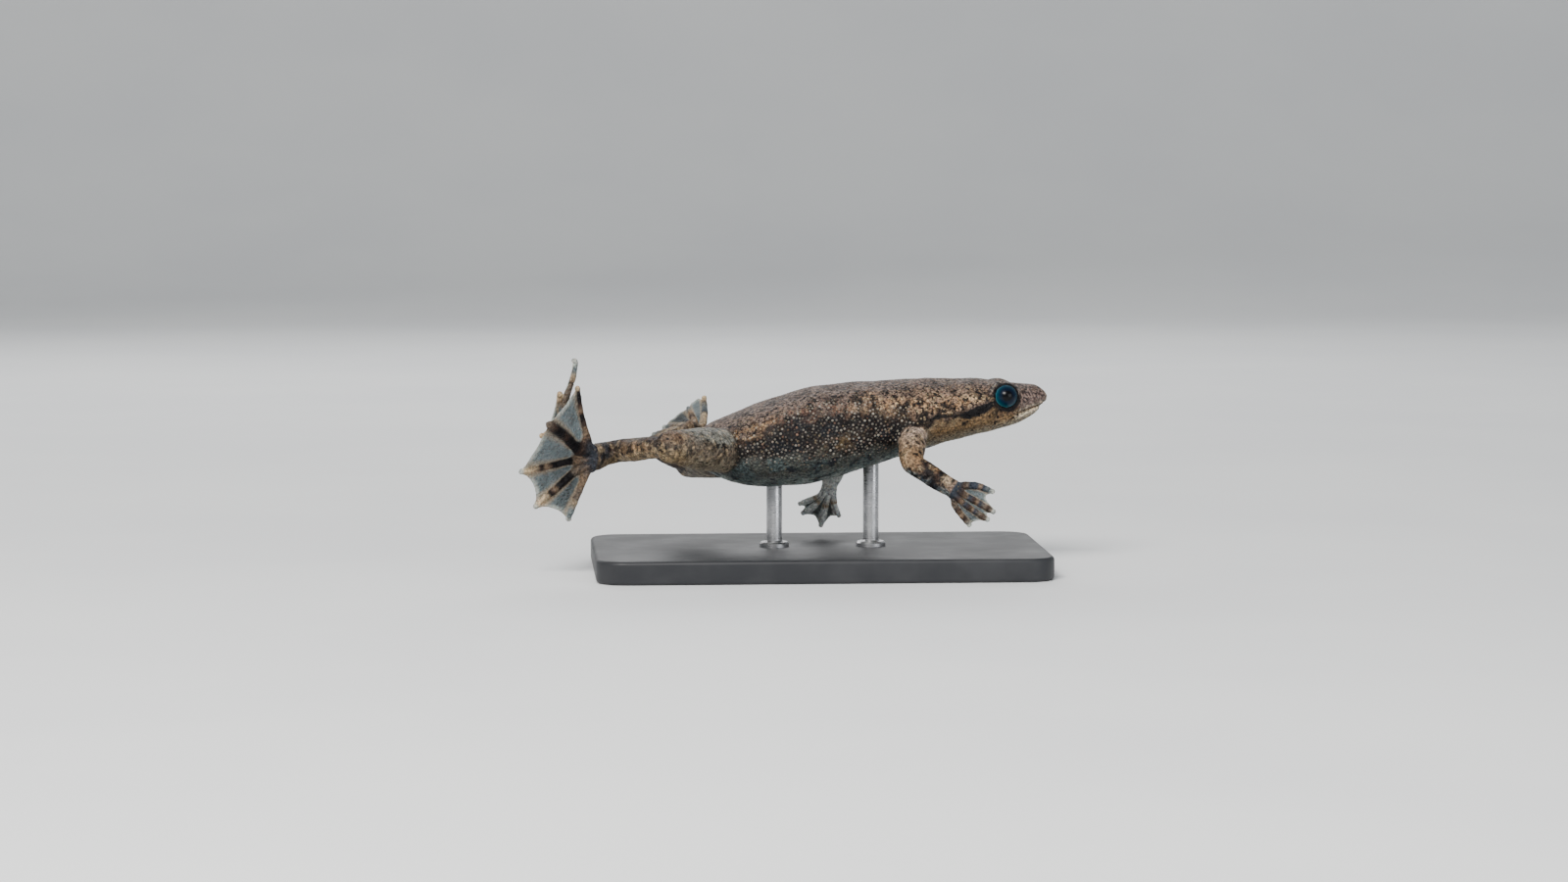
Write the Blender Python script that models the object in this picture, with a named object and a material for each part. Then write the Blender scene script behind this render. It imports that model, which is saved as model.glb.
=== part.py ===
"""A dwarf clawed frog as a still, life-size display model, swimming, on a plain stand.

The frog faces +X with its right side towards -Y. The origin is the middle of the
underside of the stand's base, and Z is up. Sizes in the tables below are
millimetres on the real animal, and MM turns them into metres.
"""

import math

import bmesh
import bpy
from mathutils import Vector

MM = 0.001
GAP = 0.3
AXIS_UP = Vector((0.0, 0.0, 1.0))

# Trunk and head: place along the body, top, underside and half width of each section
BODY_SECTIONS = (
    (-13.3, 14.1, 11.2, 2.3),
    (-11.5, 14.9, 10.2, 3.3),
    (-10.0, 15.5, 9.5, 4.2),
    (-8.5, 16.1, 9.0, 5.2),
    (-6.5, 16.95, 8.7, 6.1),
    (-3.5, 17.95, 8.7, 6.8),
    (-0.5, 18.75, 9.0, 6.9),
    (3.5, 19.15, 10.1, 6.4),
    (7.5, 19.35, 11.35, 5.7),
    (10.5, 19.55, 12.2, 5.15),
    (13.0, 19.5, 13.0, 4.8),
    (15.5, 19.5, 13.65, 4.6),
    (17.5, 19.38, 14.12, 4.15),
    (18.8, 19.18, 14.48, 3.65),
    (20.3, 18.92, 14.9, 2.95),
    (21.5, 18.8, 15.5, 2.35),
    (22.5, 18.55, 16.12, 1.75),
    (23.5, 18.2, 16.65, 1.2),
)
BODY_SIDES = 32
BODY_SQUARENESS = 2.15
HIP_WIDEST_AT = 0.5
JAW_WIDEST_AT = 0.42
SNOUT_ROUNDS_FROM = 21.9
RUMP_ROUNDS_FROM = -10.6
NECK_X = 14.2
WAIST_X = -7.2
RING_STEP = 0.95

# Eyes and the ring of skin round each
EYE_CENTRE = (18.85, 2.85, 17.85)
EYE_RADIUS = 1.22
EYE_TILT_UP = math.radians(14)
EYE_TURN_FORWARD = math.radians(8)
EYE_GAP = 0.27
ORBIT_CENTRE = (18.5, 2.3, 17.5)
ORBIT_HALF_SIZES = (2.3, 1.82, 1.88)
LID_RING_RADIUS = 1.5
LID_THICKNESS = 0.21
LID_SET_OUT = 0.12

# Mouth line, lower lip and nostrils
MOUTH_LINE = ((19.9, 16.05), (21.3, 16.53), (22.4, 16.82), (23.3, 16.9))
MOUTH_GROOVE_RADIUS = 0.17
LOWER_LIP_RADIUS = 0.28
LOWER_LIP_DROP = 0.34
LOWER_LIP_SET_IN = 0.14
LOWER_JAW_SHORTER = 0.36
TUBE_TAPERS_OVER = 0.3
NOSTRIL_PLACE = (22.75, 0.72, 18.1)
NOSTRIL_RADIUS = 0.2

# Webs and digits
WEB_THICKNESS = 0.5
DIGIT_COLUMNS = (-1.0, -0.55, 0.0, 0.55, 1.0)
WEB_COLUMNS = (0.33, 0.67)
FAN_ROWS = (0.0, 0.06, 0.12, 0.19, 0.27, 0.36, 0.46, 0.56, 0.66, 0.76, 0.85, 0.92, 0.97, 1.0)
PALM_ENDS_AT = 0.34
TIP_HALF_THICKNESS = 0.12

# Stand
BASE_LENGTH = 46.0
BASE_WIDTH = 26.0
BASE_THICKNESS = 2.4
BASE_CORNER_RADIUS = 3.0
BASE_EDGE_BEVEL = 0.4
ROD_RADIUS = 0.8
ROD_PLACES = {"stand_rod_rear": -4.5, "stand_rod_front": 5.4}

# Limbs: each joint's place, the half height and half depth there, and the bend's radius.
# Between two joints the limb swells to the half sizes of its muscle. A thigh ends in a
# round knee, and the shank starts inside it.
RIGHT_ARM = {
    "joints": ((9.5, -2.6, 15.3), (8.65, -8.9, 11.7), (12.6, -10.6, 9.25)),
    "joint_sizes": ((1.7, 1.5), (1.12, 1.15), (0.98, 0.62)),
    "muscle_sizes": ((1.48, 1.4), (1.05, 1.0)),
    "bends": (1.3,),
}
LEFT_ARM = {
    "joints": ((8.8, 2.6, 15.0), (2.7, 8.6, 11.0), (1.85, 8.2, 7.75)),
    "joint_sizes": ((1.7, 1.5), (1.3, 1.2), (0.85, 0.62)),
    "muscle_sizes": ((1.5, 1.4), (1.2, 1.1)),
    "bends": (1.3,),
}
RIGHT_THIGH = {
    "joints": ((-8.2, -0.8, 12.0), (-15.65, -10.4, 13.55)),
    "joint_sizes": ((2.35, 2.8), (1.66, 1.5)),
    "muscle_sizes": ((2.4, 2.65),),
    "bends": (),
}
RIGHT_SHANK = {
    "joints": ((-16.1, -10.1, 13.6), (-20.9, -1.7, 12.4), (-23.1, -5.1, 12.05)),
    "joint_sizes": ((1.15, 1.15), (1.12, 0.95), (1.45, 0.75)),
    "muscle_sizes": ((1.22, 1.4), (1.25, 0.9)),
    "bends": (1.1,),
}
LEFT_THIGH = {
    "joints": ((-8.2, 0.8, 11.9), (-12.8, 11.2, 10.1)),
    "joint_sizes": ((2.2, 2.7), (1.62, 1.45)),
    "muscle_sizes": ((2.15, 2.5),),
    "bends": (),
}
LEFT_SHANK = {
    "joints": ((-13.2, 11.4, 10.3), (-17.0, 3.7, 12.4), (-13.0, 6.0, 13.9)),
    "joint_sizes": ((1.15, 1.15), (0.98, 0.85), (1.3, 0.75)),
    "muscle_sizes": ((1.17, 1.35), (1.05, 0.82)),
    "bends": (1.3,),
}

# Digits: path from the palm to the tip, radius at the root, radius at the tip
RIGHT_FINGERS = (
    (((13.95, -11.2, 9.65), (15.1, -11.5, 9.6), (16.75, -11.8, 8.95)), 0.42, 0.24),
    (((14.15, -11.1, 8.45), (16.85, -11.7, 6.9)), 0.38, 0.24),
    (((13.75, -10.9, 7.8), (16.3, -11.2, 6.05)), 0.36, 0.24),
    (((13.0, -10.6, 7.35), (14.5, -10.4, 5.4)), 0.36, 0.24),
)
RIGHT_FINGER_WEBS = (0.76, 0.86, 0.88)
LEFT_FINGERS = (
    (((0.6, 8.2, 6.75), (-1.45, 8.5, 5.8)), 0.38, 0.24),
    (((0.75, 8.3, 6.2), (-1.1, 8.7, 4.75)), 0.38, 0.24),
    (((1.4, 8.3, 5.6), (0.9, 8.6, 3.4)), 0.38, 0.24),
    (((2.3, 8.2, 6.0), (2.9, 8.3, 4.45)), 0.38, 0.24),
)
LEFT_FINGER_WEBS = (0.82, 0.8, 0.8)
RIGHT_TOES = (
    (((-23.6, -5.4, 10.8), (-24.7, -5.3, 8.3), (-25.7, -5.0, 5.65)), 0.48, 0.26),
    (((-24.4, -5.5, 11.2), (-26.7, -5.8, 9.2), (-29.1, -6.0, 7.1)), 0.56, 0.26),
    (((-24.6, -5.7, 12.0), (-27.4, -6.8, 11.6), (-30.45, -7.8, 11.05)), 0.58, 0.26),
    (((-24.5, -6.4, 12.95), (-26.0, -9.0, 14.6), (-27.8, -12.0, 16.15)), 0.62, 0.34),
    (((-23.7, -5.7, 13.6), (-24.3, -6.3, 17.3), (-24.8, -6.9, 20.0), (-25.0, -7.0, 22.1)), 0.56, 0.24),
)
RIGHT_TOE_WEBS = (0.88, 0.87, 0.93, 0.86)
LEFT_TOES = (
    (((-11.4, 7.2, 14.1), (-10.95, 9.0, 15.2), (-10.9, 11.0, 17.0)), 0.48, 0.28),
    (((-12.2, 7.6, 14.3), (-12.4, 10.0, 15.0), (-12.75, 12.3, 15.75)), 0.5, 0.26),
    (((-12.9, 7.8, 14.1), (-13.9, 10.4, 13.9), (-15.3, 12.9, 13.6)), 0.52, 0.26),
    (((-13.6, 7.6, 13.8), (-15.0, 10.2, 13.3), (-16.4, 12.8, 12.8)), 0.56, 0.28),
    (((-14.1, 7.2, 13.5), (-15.6, 9.2, 13.0), (-17.2, 11.2, 12.4)), 0.48, 0.26),
)
LEFT_TOE_WEBS = (0.9, 0.92, 0.9, 0.88)
LIMB_SIDES = 20
LIMB_RING_STEP = 0.8
BEND_STEPS_PER_RADIAN = 3.6

# Finishes: colour, roughness
SKIN_BACK = ((0.20, 0.16, 0.13), 0.45)
SKIN_LIMB = ((0.33, 0.24, 0.18), 0.45)
WEB_FINISH = ((0.33, 0.36, 0.36), 0.4)
EYE_FINISH = ((0.03, 0.13, 0.17), 0.08)
BASE_FINISH = ((0.07, 0.07, 0.075), 0.5)
ROD_FINISH = ((0.55, 0.55, 0.56), 0.3)


def clear_scene():
    """Remove every object that the file starts with."""
    for thing in list(bpy.data.objects):
        bpy.data.objects.remove(thing, do_unlink=True)


def finish(name, look, metallic=0.0):
    """Return a Principled material with a colour, a roughness and a metallic value."""
    colour, roughness = look
    material = bpy.data.materials.new(name)
    material.use_nodes = True
    shader = material.node_tree.nodes["Principled BSDF"]
    shader.inputs["Base Color"].default_value = (*colour, 1.0)
    shader.inputs["Roughness"].default_value = roughness
    shader.inputs["Metallic"].default_value = metallic
    return material


def ease(start, end, value):
    """Return 0 before start, 1 after end and a smooth step between them."""
    share = min(1.0, max(0.0, (value - start) / (end - start)))
    return share * share * (3.0 - 2.0 * share)


def hermite(knots, values, where):
    """Return the smooth curve through the values at the knots, read at one place."""
    last = len(knots) - 1
    low = max(0, min(last - 1, sum(1 for knot in knots[1:-1] if knot <= where)))
    high = low + 1
    before = max(0, low - 1)
    after = min(last, high + 1)
    span = knots[high] - knots[low]
    share = (where - knots[low]) / span
    slope_low = (values[high] - values[before]) / (knots[high] - knots[before])
    slope_high = (values[after] - values[low]) / (knots[after] - knots[low])
    square = share * share
    cube = square * share
    return (
        values[low] * (2 * cube - 3 * square + 1)
        + slope_low * (span * (cube - 2 * square + share))
        + values[high] * (3 * square - 2 * cube)
        + slope_high * (span * (cube - square))
    )


def body_section(x):
    """Return the top, underside, half width and widest height of the body at one place."""
    places = [section[0] for section in BODY_SECTIONS]
    top, under, width = (
        hermite(places, [section[column] for section in BODY_SECTIONS], x) for column in (1, 2, 3)
    )
    share = ease(NECK_X, NECK_X + 4.0, x)
    widest = under + (top - under) * (HIP_WIDEST_AT + (JAW_WIDEST_AT - HIP_WIDEST_AT) * share)
    close = 1.0
    if x > SNOUT_ROUNDS_FROM:
        reach = (x - SNOUT_ROUNDS_FROM) / (BODY_SECTIONS[-1][0] - SNOUT_ROUNDS_FROM)
        close = math.sqrt(max(0.0, 1.0 - reach**2.4))
    if x < RUMP_ROUNDS_FROM:
        reach = (RUMP_ROUNDS_FROM - x) / (RUMP_ROUNDS_FROM - BODY_SECTIONS[0][0])
        close = math.sqrt(max(0.0, 1.0 - reach**2.4))
    middle = (top + under) / 2.0
    widest = middle + (widest - middle) * close
    return widest + (top - widest) * close, widest - (widest - under) * close, width * close, widest


def body_ring(x, grow=0.0):
    """Return one cross-section of the body, grown outwards by a number of millimetres."""
    top, under, width, widest = body_section(x)
    points = []
    for step in range(BODY_SIDES):
        angle = 2.0 * math.pi * step / BODY_SIDES
        across, up = math.cos(angle), math.sin(angle)
        height = (top - widest if up > 0 else widest - under) + grow
        power = 2.0 / BODY_SQUARENESS
        points.append(
            Vector((
                x,
                (width + grow) * math.copysign(abs(across) ** power, across),
                widest + height * math.copysign(abs(up) ** power, up),
            ))
        )
    return points


def body_half_width(x, z):
    """Return how far the body's side is from its middle plane at a place and a height."""
    top, under, width, widest = body_section(x)
    height = top - widest if z > widest else widest - under
    share = min(1.0, abs(z - widest) / max(height, 1e-6))
    return width * (1.0 - share**BODY_SQUARENESS) ** (1.0 / BODY_SQUARENESS)


def mesh_object(name, points, faces):
    """Make an object from points in millimetres and faces, with its faces turned outwards."""
    mesh = bpy.data.meshes.new(name)
    mesh.from_pydata([tuple(point * MM) for point in points], [], faces)
    mesh.validate()
    surface = bmesh.new()
    surface.from_mesh(mesh)
    bmesh.ops.recalc_face_normals(surface, faces=surface.faces)
    surface.to_mesh(mesh)
    surface.free()
    thing = bpy.data.objects.new(name, mesh)
    bpy.context.scene.collection.objects.link(thing)
    return thing


def loft(name, rings):
    """Join rings of equal count into a closed solid with a fan of faces at each end."""
    count = len(rings[0])
    points = [point for ring in rings for point in ring]
    faces = []
    for row in range(len(rings) - 1):
        for step in range(count):
            after = (step + 1) % count
            low = row * count
            faces.append((low + step, low + after, low + count + after, low + count + step))
    for row in (0, len(rings) - 1):
        middle = sum(rings[row], Vector()) / count
        points.append(middle)
        hub = len(points) - 1
        low = row * count
        for step in range(count):
            faces.append((hub, low + step, low + (step + 1) % count))
    return mesh_object(name, points, faces)


def body_places(start, end):
    """Return places for rings along the body, closer together on the head and at round ends."""
    places = [start]
    while places[-1] < end - 0.3:
        x = places[-1]
        step = RING_STEP
        if x > NECK_X:
            step = 0.55
        if x > SNOUT_ROUNDS_FROM - 0.3:
            step = 0.22
        if x < RUMP_ROUNDS_FROM:
            step = 0.45
        places.append(min(x + step, end))
    if end - places[-1] > 1e-6:
        places.append(end)
    return places


def body_length(name, start, end, grow=0.0):
    """Make the stretch of the body between two places as a closed solid."""
    return loft(name, [body_ring(x, grow) for x in body_places(start, end)])


def modifier(thing, kind, **settings):
    """Apply one modifier to an object at once."""
    added = thing.modifiers.new(kind.lower(), kind)
    for setting, value in settings.items():
        setattr(added, setting, value)
    evaluated = thing.evaluated_get(bpy.context.evaluated_depsgraph_get())
    mesh = bpy.data.meshes.new_from_object(evaluated)
    thing.modifiers.remove(added)
    old = thing.data
    thing.data = mesh
    bpy.data.meshes.remove(old)


def keep_largest(thing):
    """Keep only the largest closed surface of an object."""
    surface = bmesh.new()
    surface.from_mesh(thing.data)
    bmesh.ops.remove_doubles(surface, verts=surface.verts, dist=2e-6)
    left = set(surface.faces)
    shells = []
    while left:
        seed = left.pop()
        shell = {seed}
        edge_of_shell = [seed]
        while edge_of_shell:
            face = edge_of_shell.pop()
            for edge in face.edges:
                for other in edge.link_faces:
                    if other in left:
                        left.remove(other)
                        shell.add(other)
                        edge_of_shell.append(other)
        shells.append(shell)
    shells.sort(key=lambda shell: sum(face.calc_area() for face in shell))
    scraps = [face for shell in shells[:-1] for face in shell]
    if scraps:
        bmesh.ops.delete(surface, geom=scraps, context="FACES")
    bmesh.ops.recalc_face_normals(surface, faces=surface.faces)
    surface.to_mesh(thing.data)
    surface.free()


def combine(thing, others, operation):
    """Join or cut an object with a collection of others, apply it and remove the others."""
    group = bpy.data.collections.new(thing.name + "_pieces")
    bpy.context.scene.collection.children.link(group)
    for other in others:
        group.objects.link(other)
    modifier(
        thing, "BOOLEAN", operation=operation, operand_type="COLLECTION", collection=group, solver="EXACT"
    )
    for other in others:
        bpy.data.objects.remove(other, do_unlink=True)
    bpy.data.collections.remove(group)
    keep_largest(thing)


def fillet_path(joints, bends):
    """Return points along straight bones with round bends, and each point's joint number."""
    corners = [Vector(joint) for joint in joints]
    points = [corners[0]]
    marks = [0.0]
    leave = corners[0]
    for number in range(1, len(corners)):
        corner = corners[number]
        heading = (corner - corners[number - 1]).normalized()
        if number == len(corners) - 1:
            arc = [corner]
            arc_marks = [float(number)]
        else:
            onward = (corners[number + 1] - corner).normalized()
            turn = heading.angle(onward)
            radius = bends[number - 1]
            trim = radius * math.tan(turn / 2.0)
            inward = (onward - heading * heading.dot(onward)).normalized()
            start = corner - heading * trim
            steps = max(4, round(turn * BEND_STEPS_PER_RADIAN))
            arc = []
            arc_marks = []
            for step in range(steps + 1):
                angle = turn * step / steps
                arc.append(start + heading * radius * math.sin(angle) + inward * radius * (1 - math.cos(angle)))
                arc_marks.append(number + (step / steps - 0.5) * 0.3)
        run = (arc[0] - leave).length
        count = max(2, round(run / LIMB_RING_STEP))
        for step in range(1, count):
            share = step / count
            points.append(leave.lerp(arc[0], share))
            marks.append(marks_between(number - 1, arc_marks[0], share))
        points.extend(arc)
        marks.extend(arc_marks)
        leave = arc[-1]
    return points, marks


def marks_between(joint, arc_mark, share):
    """Return the joint number part of the way along a bone, from one bend to the next."""
    start = joint + (0.15 if joint else 0.0)
    return start + (arc_mark - start) * share


def limb_sizes(limb, mark):
    """Return the half height and half depth of a limb at a joint number."""
    knots = []
    heights = []
    depths = []
    for number, size in enumerate(limb["joint_sizes"]):
        knots.append(float(number))
        heights.append(size[0])
        depths.append(size[1])
        if number < len(limb["muscle_sizes"]):
            knots.append(number + 0.45)
            heights.append(limb["muscle_sizes"][number][0])
            depths.append(limb["muscle_sizes"][number][1])
    return hermite(knots, heights, mark), hermite(knots, depths, mark)


def limb_frames(limb, side_hint):
    """Return place, heading, side, normal and half sizes for each ring along a limb."""
    points, marks = fillet_path(limb["joints"], limb["bends"])
    frames = []
    for number, (point, mark) in enumerate(zip(points, marks)):
        before = points[max(0, number - 1)]
        after = points[min(len(points) - 1, number + 1)]
        heading = (after - before).normalized()
        side = (side_hint - heading * heading.dot(side_hint)).normalized()
        height, depth = limb_sizes(limb, mark)
        frames.append((mark, point, heading, side, heading.cross(side), height, depth))
    return frames


def limb_ring(frame):
    """Return the oval ring of one frame of a limb."""
    _, point, _, side, normal, height, depth = frame
    ring = []
    for step in range(LIMB_SIDES):
        angle = 2.0 * math.pi * step / LIMB_SIDES
        ring.append(point + side * (height * math.cos(angle)) + normal * (depth * math.sin(angle)))
    return ring


def round_end(frame):
    """Return the frames that close a limb with a round end."""
    mark, point, heading, side, normal, height, depth = frame
    frames = []
    for step in range(1, 6):
        angle = 0.5 * math.pi * step / 5.4
        reach = point + heading * depth * math.sin(angle)
        narrow = math.cos(angle)
        frames.append((mark, reach, heading, side, normal, height * narrow, depth * narrow))
    return frames


def shifted(frame, distance):
    """Return a frame moved along its own heading."""
    mark, point, heading, side, normal, height, depth = frame
    return (mark, point + heading * distance, heading, side, normal, height, depth)


def nearest_frame(frames, mark):
    """Return the index of the frame closest to a joint number."""
    return min(range(len(frames)), key=lambda index: abs(frames[index][0] - mark))


def limb_length(name, frames, start, end):
    """Make the stretch of a limb between two joints, with half a gap left at each joint."""
    first = nearest_frame(frames, start)
    last = nearest_frame(frames, end)
    stretch = frames[first:last + 1]
    if start > 0:
        stretch[0] = shifted(stretch[0], GAP / 2.0)
    stretch[-1] = shifted(stretch[-1], -GAP / 2.0)
    return loft(name, [limb_ring(frame) for frame in stretch])


def fan_columns(count):
    """Return the columns of a fan of digits: digit number, place across it, or share of a web."""
    columns = []
    for digit in range(count):
        for across in DIGIT_COLUMNS:
            columns.append(("digit", digit, across))
        if digit < count - 1:
            for share in WEB_COLUMNS:
                columns.append(("web", digit, share))
    return columns


def digit_point(root, path, share):
    """Return the place on a digit at a share of its length, from the wrist to the tip."""
    corners = [root] + [Vector(point) for point in path]
    knots = [0.0]
    for before, after in zip(corners, corners[1:]):
        knots.append(knots[-1] + (after - before).length)
    return hermite(knots, corners, share * knots[-1])


def column_reach(column, webs):
    """Return the share of the digits' length that a column of a fan runs to."""
    kind, number, value = column
    if kind == "digit":
        left = webs[number - 1] if number > 0 else 0.0
        right = webs[number] if number < len(webs) else 0.0
        edge = left if value < 0 else right
        if value == 0.0:
            return 1.0
        if abs(value) < 1.0:
            return 0.985
        return max(0.93, edge) if edge else 0.94
    middle = 1.0 - (2.0 * value - 1.0) ** 2
    return webs[number] + (0.97 - webs[number]) * (1.0 - middle) * 0.5


def fan_middle(base, digits, webs, columns, share):
    """Return the middle surface of a fan at one share of its length, with half thicknesses."""
    _, point, heading, side, normal, half_width, half_depth = base
    count = len(digits)
    last = len(columns) - 1
    roots = [point + side * (half_width * 0.7 * (2.0 * n / (count - 1) - 1.0)) for n in range(count)]
    places = []
    halves = []
    for index, column in enumerate(columns):
        kind, number, value = column
        reach = share * column_reach(column, webs)
        spots = [digit_point(roots[n], digits[n][0], reach) for n in range(count)]
        gaps = [(spots[n + 1] - spots[n]).length for n in range(count - 1)]

        def radius(n):
            """Return the radius of one digit here, held to the room between its neighbours."""
            full = digits[n][1] + (digits[n][2] - digits[n][1]) * reach
            room = min(gaps[max(0, n - 1)], gaps[min(count - 2, n)])
            return min(full, room * 0.42)

        def spread(n):
            """Return the direction across the digits at one digit."""
            return (spots[min(count - 1, n + 1)] - spots[max(0, n - 1)]).normalized()

        if kind == "digit":
            place = spots[number] + spread(number) * (radius(number) * value)
            half = radius(number) * math.sqrt(max(0.0, 1.0 - value * value))
            half = max(half, WEB_THICKNESS / 2.0)
        else:
            left = spots[number] + spread(number) * radius(number)
            right = spots[number + 1] - spread(number + 1) * radius(number + 1)
            place = left.lerp(right, value)
            half = WEB_THICKNESS / 2.0
        angle = math.pi * index / last
        wrist = point - side * (half_width * math.cos(angle)) + heading * (share * 2.0)
        wrist_half = half_depth * math.sin(angle)
        part = ease(0.0, PALM_ENDS_AT, share)
        places.append(wrist.lerp(place, ease(0.0, PALM_ENDS_AT * 0.8, share)))
        half = wrist_half + (half - wrist_half) * part
        if share > 0.9:
            half = half + (TIP_HALF_THICKNESS - half) * ((share - 0.9) / 0.1) ** 2
        halves.append(half)
    return places, halves


def fan(name, base, digits, webs):
    """Make a palm or sole with its digits as ridges that stand out of the web's own surface."""
    columns = fan_columns(len(digits))
    last = len(columns) - 1
    rows = [fan_middle(base, digits, webs, columns, share) for share in FAN_ROWS]
    points = []
    for row, share in enumerate(FAN_ROWS):
        places, halves = rows[row]
        above = rows[min(row + 1, len(rows) - 1)][0]
        below = rows[max(row - 1, 0)][0]
        upper = []
        lower = []
        for index in range(last + 1):
            along = above[index] - below[index]
            across = places[min(last, index + 3)] - places[max(0, index - 3)]
            normal = along.cross(across).normalized()
            if normal.dot(base[4]) < 0 and share < 0.3:
                normal = -normal
            normal = base[4].lerp(normal, ease(0.0, 0.3, share)).normalized()
            half = halves[index]
            upper.append(places[index] + normal * half)
            if 0 < index < last:
                lower.append(places[index] - normal * half)
            else:
                upper[-1] = places[index]
        points.append(upper + lower[::-1])
    return fan_solid(name, points, last)


def fan_solid(name, rings, last):
    """Close the rings of a fan into a solid: a hub at the wrist and a strip along the free edge."""
    count = len(rings[0])
    points = [point for ring in rings for point in ring]
    faces = []
    for row in range(len(rings) - 1):
        low = row * count
        for step in range(count):
            after = (step + 1) % count
            faces.append((low + step, low + after, low + count + after, low + count + step))
    points.append(sum(rings[0], Vector()) / count)
    hub = len(points) - 1
    for step in range(count):
        faces.append((hub, step, (step + 1) % count))
    low = (len(rings) - 1) * count
    faces.append((low, low + 1, low + count - 1))
    for step in range(1, last - 1):
        faces.append((low + step, low + step + 1, low + count - step - 1, low + count - step))
    faces.append((low + last - 1, low + last, low + last + 1))
    return mesh_object(name, points, faces)


def ball(name, centre, half_sizes, segments=16, rings=10):
    """Make a closed ball with a half size along each axis."""
    surface = bmesh.new()
    bmesh.ops.create_uvsphere(surface, u_segments=segments, v_segments=rings, radius=MM)
    bmesh.ops.scale(surface, verts=surface.verts, vec=Vector(half_sizes))
    bmesh.ops.translate(surface, verts=surface.verts, vec=Vector(centre) * MM)
    mesh = bpy.data.meshes.new(name)
    surface.to_mesh(mesh)
    surface.free()
    thing = bpy.data.objects.new(name, mesh)
    bpy.context.scene.collection.objects.link(thing)
    return thing


def mirrored(place, side):
    """Return a place with its distance from the middle plane turned to one side."""
    return (place[0], side * place[1], place[2])


def tube(name, path, radius, end_share=1.0, sides=6):
    """Make a closed round tube along a path, with its ends narrowed to a share of the radius."""
    rings = []
    last = len(path) - 1
    for number, point in enumerate(path):
        share = ease(0.0, TUBE_TAPERS_OVER, min(number, last - number) / last)
        thick = radius * (end_share + (1.0 - end_share) * share)
        heading = (path[min(last, number + 1)] - path[max(0, number - 1)]).normalized()
        side = heading.cross(AXIS_UP).normalized()
        up = side.cross(heading)
        ring = []
        for step in range(sides):
            angle = 2.0 * math.pi * step / sides
            ring.append(point + side * (thick * math.cos(angle)) + up * (thick * math.sin(angle)))
        rings.append(ring)
    return loft(name, rings)


def mouth_front(places, heights, drop):
    """Return how far forward the mouth line runs before it meets the underside of the snout."""
    back, front = places[0], BODY_SECTIONS[-1][0] - 0.05
    for _ in range(24):
        middle = (back + front) / 2.0
        if hermite(places, heights, middle) - drop > body_section(middle)[1]:
            back = middle
        else:
            front = middle
    return back


def mouth_path(drop, set_in, shorter=0.0, samples=9):
    """Return the path round the jaw a little below the mouth line, from corner to corner."""
    places = [point[0] for point in MOUTH_LINE]
    heights = [point[1] for point in MOUTH_LINE]
    front = mouth_front(places, heights, drop) - shorter
    half = []
    for step in range(samples):
        x = places[0] + (front - places[0]) * math.sin(0.5 * math.pi * step / samples)
        z = hermite(places, heights, x) - drop
        half.append(Vector((x, set_in - body_half_width(x, z), z)))
    half = [point for point in half if point.y < -0.3]
    tip = Vector((front - set_in, 0.0, hermite(places, heights, front) - drop))
    return half + [tip] + [Vector((point.x, -point.y, point.z)) for point in half[::-1]]


def lid_ring(name, side):
    """Make the raised ring of skin round one eye."""
    segments, tube_sides = 16, 6
    facing = Vector((
        math.sin(EYE_TURN_FORWARD),
        side * math.cos(EYE_TURN_FORWARD) * math.cos(EYE_TILT_UP),
        math.sin(EYE_TILT_UP),
    )).normalized()
    across = facing.cross(AXIS_UP).normalized()
    up = across.cross(facing)
    centre = Vector((EYE_CENTRE[0], side * EYE_CENTRE[1], EYE_CENTRE[2])) + facing * LID_SET_OUT
    points = []
    faces = []
    for step in range(segments):
        angle = 2.0 * math.pi * step / segments
        outward = across * math.cos(angle) + up * math.sin(angle)
        for part in range(tube_sides):
            turn = 2.0 * math.pi * part / tube_sides
            spot = centre + outward * (LID_RING_RADIUS + LID_THICKNESS * math.cos(turn))
            points.append(spot + facing * (LID_THICKNESS * math.sin(turn)))
    for step in range(segments):
        after = (step + 1) % segments
        for part in range(tube_sides):
            beside = (part + 1) % tube_sides
            faces.append((
                step * tube_sides + part,
                step * tube_sides + beside,
                after * tube_sides + beside,
                after * tube_sides + part,
            ))
    return mesh_object(name, points, faces)


def make_head(skin):
    """Make the head with its eye sockets, lids, mouth line, lower lip and nostrils."""
    head = body_length("head", NECK_X + GAP / 2.0, BODY_SECTIONS[-1][0] - 0.02)
    lip_path = mouth_path(LOWER_LIP_DROP, LOWER_LIP_SET_IN, LOWER_JAW_SHORTER)
    raised = [tube("lip", lip_path, LOWER_LIP_RADIUS, 0.3)]
    cutters = [tube("groove", mouth_path(0.0, 0.0), MOUTH_GROOVE_RADIUS, 0.6)]
    for side in (-1, 1):
        raised.append(ball("orbit", mirrored(ORBIT_CENTRE, side), ORBIT_HALF_SIZES, 16, 10))
        raised.append(lid_ring("lid", side))
        socket_size = EYE_RADIUS + EYE_GAP
        cutters.append(ball("socket", mirrored(EYE_CENTRE, side), [socket_size] * 3, 16, 10))
        cutters.append(ball("nostril", mirrored(NOSTRIL_PLACE, side), [NOSTRIL_RADIUS] * 3, 8, 6))
    combine(head, raised, "UNION")
    for cutter in cutters:
        combine(head, [cutter], "DIFFERENCE")
    dress(head, skin)
    return head


def dress(thing, material):
    """Give an object one material."""
    thing.data.materials.clear()
    thing.data.materials.append(material)


def make_thigh(name, limb, skin):
    """Make a thigh that ends in a round knee, and return the frames along it."""
    frames = limb_frames(limb, AXIS_UP)
    frames.extend(round_end(frames[-1]))
    thigh = loft(name, [limb_ring(frame) for frame in frames])
    combine(thigh, [body_clearance()], "DIFFERENCE")
    dress(thigh, skin)
    return frames


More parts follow.
